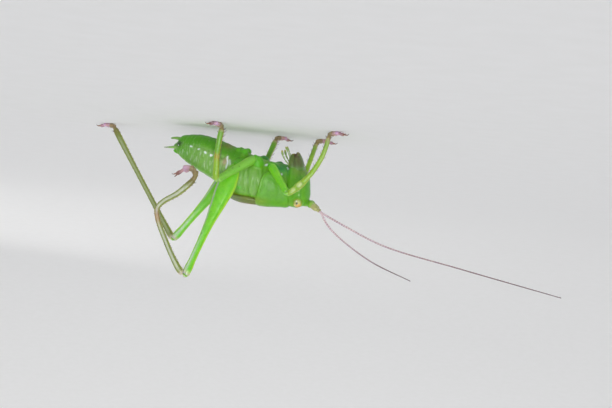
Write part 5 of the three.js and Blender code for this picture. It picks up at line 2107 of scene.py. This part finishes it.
    def build(self, bench: Bench) -> None:
        """Makes every piece of the leg.

        Args:
            bench: Where pieces are made.
        """
        name = self.name
        thigh, shin, foot = self.thigh(), self.shin(), self.foot()
        bench.place(f"thigh_{name}", thigh, THIGH_GREEN, "thigh_green", [f"femur_{name}"])
        finish, slot = (SHIN_PALE, "shin_pale") if self.hind else (SHIN_GREEN, "shin_green")
        solids = [f"tibia_{name}_upper", f"tibia_{name}_lower"] if self.lifted else [f"tibia_{name}"]
        bench.place(f"shin_{name}", shin, finish, slot, solids)
        bench.place(f"foot_{name}", foot, FOOT_PINK, "foot_pink", [f"tarsus_{name}"])
        bench.place(f"claws_{name}", self.claws(), CLAW_HORN, "foot_pink")
        bench.place(f"spines_{name}", self.spines(), SPINE_HORN, slot)
        joints = self.foot_joints()
        coats = (
            (thigh, 0.34, 0.14, unit(np.array(self.knee) - np.array(self.hip))),
            (shin, 0.2, 0.2, self.shin_line().heading(shin.along)),
            (foot, 0.17, 0.14, unit(joints[4] - joints[0])),
        )
        grown = [
            Coat(spacing=spacing, length=length).grow(shell, way, (k / 3, (k + 1) / 3))
            for k, (shell, spacing, length, way) in enumerate(coats)
        ]
        hairs = joined(shell for shell, _ in grown)
        hairs.points[:, 2] = np.maximum(hairs.points[:, 2], 0.002)  # just clear of the floor
        bench.place(f"hairs_{name}", hairs, HAIR, slot, roots=np.concatenate([root for _, root in grown]))


@dataclass
class Lamp:
    """A soft square lamp that shines at the model."""

    name: str
    place: Place  # metres from the model's middle
    width: float
    power: float
    spread: float = 180.0  # degrees; a narrow one, as with a honeycomb, keeps the floor near it dim


@dataclass
class Studio:
    """A pale floor that curves up all round, soft lamps, and the camera."""

    flat: float = 0.35  # the flat floor's radius in metres
    rise: float = 0.8
    lamps: tuple[Lamp, ...] = (
        Lamp("key", (0.12, 0.6, 0.145), 0.15, 0.076, spread=40),
        Lamp("top", (-0.15, 0.2, 0.45), 0.3, 0.15),
        Lamp("rim", (-0.25, -0.36, 0.2), 0.35, 0.15),
    )
    sun_power: float = 1.2
    sun_width: float = 50.0  # degrees, as wide as a window
    sun_heading: Place = (-0.2, -1, -0.6)
    room_colour: str = "#F2F5FF"
    room_light: float = 0.55
    target: Place = (7, 0, 8.78)  # what the camera looks at, in the modeller's frame
    distance: float = 0.2125  # from there to the camera in metres
    yaw: float = 8.0  # degrees, and the next two
    pitch: float = 2.0
    tilt: float = 5.13
    lens: float = 100.0

    def floor(self) -> None:
        """The floor and the wall that it bends up into, as one sheet."""
        share, angle = np.linspace(0, 1, 60)[1:], around(96)
        bend = share * math.pi / 2
        radius = np.append(share * self.flat, self.flat + self.rise * np.sin(bend))[:, None]
        height = np.append(0 * share, self.rise * (1 - np.cos(bend)))[:, None]
        rings = grid(radius * np.cos(angle), radius * np.sin(angle), height)
        points = np.append(rings.reshape(-1, 3), [[0, 0, 0]], 0)
        index = np.arange(rings[..., 0].size).reshape(-1, len(angle))
        tris = np.stack([np.full(len(angle), len(points) - 1), index[0], np.roll(index[0], -1)], -1)
        mesh = mesh_of("floor", points, ring_faces(index)[:, [0, 3, 2, 1]], tris)
        mesh.materials.append(PaperFloor().material())
        linked("floor", mesh)

    def light(self) -> None:
        """The lamps, and the even light of the room."""
        low, high = CAD_BOX
        for lamp in self.lamps:
            data = bpy.data.lights.new(lamp.name, "AREA")
            data.size, data.energy, data.spread = lamp.width, lamp.power, math.radians(lamp.spread)
            made = linked(lamp.name, data)
            made.location = (low + high) / 2 + Vector(lamp.place)
            made.rotation_euler = (-Vector(lamp.place)).to_track_quat("-Z", "Y").to_euler()
            made.visible_camera = False
        sun = bpy.data.lights.new("window", "SUN")
        sun.energy, sun.angle = self.sun_power, math.radians(self.sun_width)
        linked("window", sun).rotation_euler = Vector(self.sun_heading).to_track_quat("-Z", "Y").to_euler()
        world = bpy.data.worlds.new("room")
        world.use_nodes = True
        sky = world.node_tree.nodes["Background"].inputs
        sky["Color"].default_value = hex_colour(self.room_colour)
        sky["Strength"].default_value = self.room_light
        bpy.context.scene.world = world
        bpy.context.scene.view_settings.view_transform = "Standard"

    def camera(self, bench: Bench) -> None:
        """The camera, turned upside down, so that the animal hangs from the floor.

        Args:
            bench: Knows where the model stands.
        """
        target = Vector((np.array(self.target) + bench.shift) * MM)
        yaw, pitch, tilt = (math.radians(angle) for angle in (self.yaw, self.pitch, self.tilt))
        back = Vector((math.sin(yaw) * math.cos(pitch), math.cos(yaw) * math.cos(pitch), math.sin(pitch)))
        data = bpy.data.cameras.new("camera")
        data.lens, data.sensor_width = self.lens, 36
        data.clip_start, data.clip_end = 0.01, 10
        bpy.context.scene.camera = linked("camera", data)
        upright = (-back).to_track_quat("-Z", "Y").to_matrix().to_4x4()
        turn = upright @ Matrix.Rotation(math.pi + tilt, 4, "Z")
        place = Matrix.Translation(target + back * self.distance)
        bpy.context.scene.camera.matrix_world = place @ turn

    def build(self, bench: Bench) -> None:
        """Sets up the studio.

        Args:
            bench: Knows where the model stands.
        """
        self.camera(bench)
        self.floor()
        self.light()


LEGS = (
    Leg(
        LegKind.FRONT, Side.LEFT, (3, 1, 5.3), (2.45, 2, 4.35), (5.4, 5.4, 7.95), (9.95, 6.45, 0.62),
        bow=(0.85, 0, 0.35), toes=(0.8, 0.6, 0),
    ),
    Leg(
        LegKind.FRONT, Side.RIGHT, (3, -1, 5), (2.95, -1.75, 3.95), (4.7, -5.5, 7.8), (6.75, -6.5, 0.62),
        bow=(0.1, 0, 0.05), toes=(0.75, -0.66, 0),
    ),
    Leg(
        LegKind.MIDDLE, Side.LEFT, (0.9, 1.2, 4.9), (0.55, 2.2, 3.65), (-3.65, 5.3, 7), (-3.2, 6.7, 0.62),
        bow=(-0.2, 0.15, 0), toes=(-0.45, 0.89, 0),
    ),
    Leg(
        LegKind.MIDDLE, Side.RIGHT, (0.9, -1.2, 4.5), (0.85, -1.95, 3.35), (-0.9, -5.8, 7.1),
        (1.35, -6.85, 0.62), bow=(0.05, 0, 0.05), toes=(0.55, -0.83, 0),
    ),
    Leg(
        LegKind.HIND, Side.LEFT, (-1, 1.2, 4.6), (-1.75, 2.75, 4.6), (-6.55, 4.8, 19.1),
        shin_path=(
            (-6.8, 4.82, 18.88), (-7.7, 4.92, 17.75), (-9.24, 5.1, 15), (-10.52, 5.28, 12.2),
            (-10.64, 5.35, 11), (-9.95, 5.4, 10.15), (-8.2, 5.5, 8.98), (-6.28, 5.55, 7.1),
        ),
        foot_path=(
            (-6.15, 5.55, 6.74), (-6.3, 5.55, 6.12), (-6.9, 5.5, 5.72), (-7.7, 5.5, 5.98), (-8.6, 5.45, 6.6)
        ),
        foot_up=(0, 0.55, 0.83),
    ),
    Leg(
        LegKind.HIND, Side.RIGHT, (-1.1, -1.3, 4.5), (-1.6, -2.35, 3.3), (-10.8, -6, 14.6),
        (-20.5, -8.3, 0.62), bow=(-0.1, 0, -0.05), toes=(-0.88, -0.47, 0),
    ),
)
FEELERS = (
    Feeler(
        Side.LEFT, ((7.72, 0.5, 8.83), (8.6, 0.74, 9.4)),
        ((12.3, 0.95, 11.2), (17.3, 1.3, 13.2), (27, 1.8, 15.2), (39.4, 2.2, 17.6)),
    ),
    Feeler(
        Side.RIGHT, ((7.72, -0.5, 8.83), (8.52, -0.8, 9.42)),
        ((9.6, -2, 11.05), (11, -3.2, 12.45), (14.7, -7.4, 15.05), (19.7, -15.5, 17.3)),
    ),
)


def main() -> None:
    """Builds the model and its studio."""
    logging.basicConfig(level=logging.INFO, format="%(name)s: %(message)s")
    bench = Bench()
    Studio().build(bench)
    trunk = Trunk()
    trunk.build(bench, LEGS)
    Shield(trunk).build(bench)
    Tail().build(bench)
    Head(trunk).build(bench)
    for feeler in FEELERS:
        feeler.build(bench)
    for leg in LEGS:
        leg.build(bench)


if __name__ == "__main__":
    main()
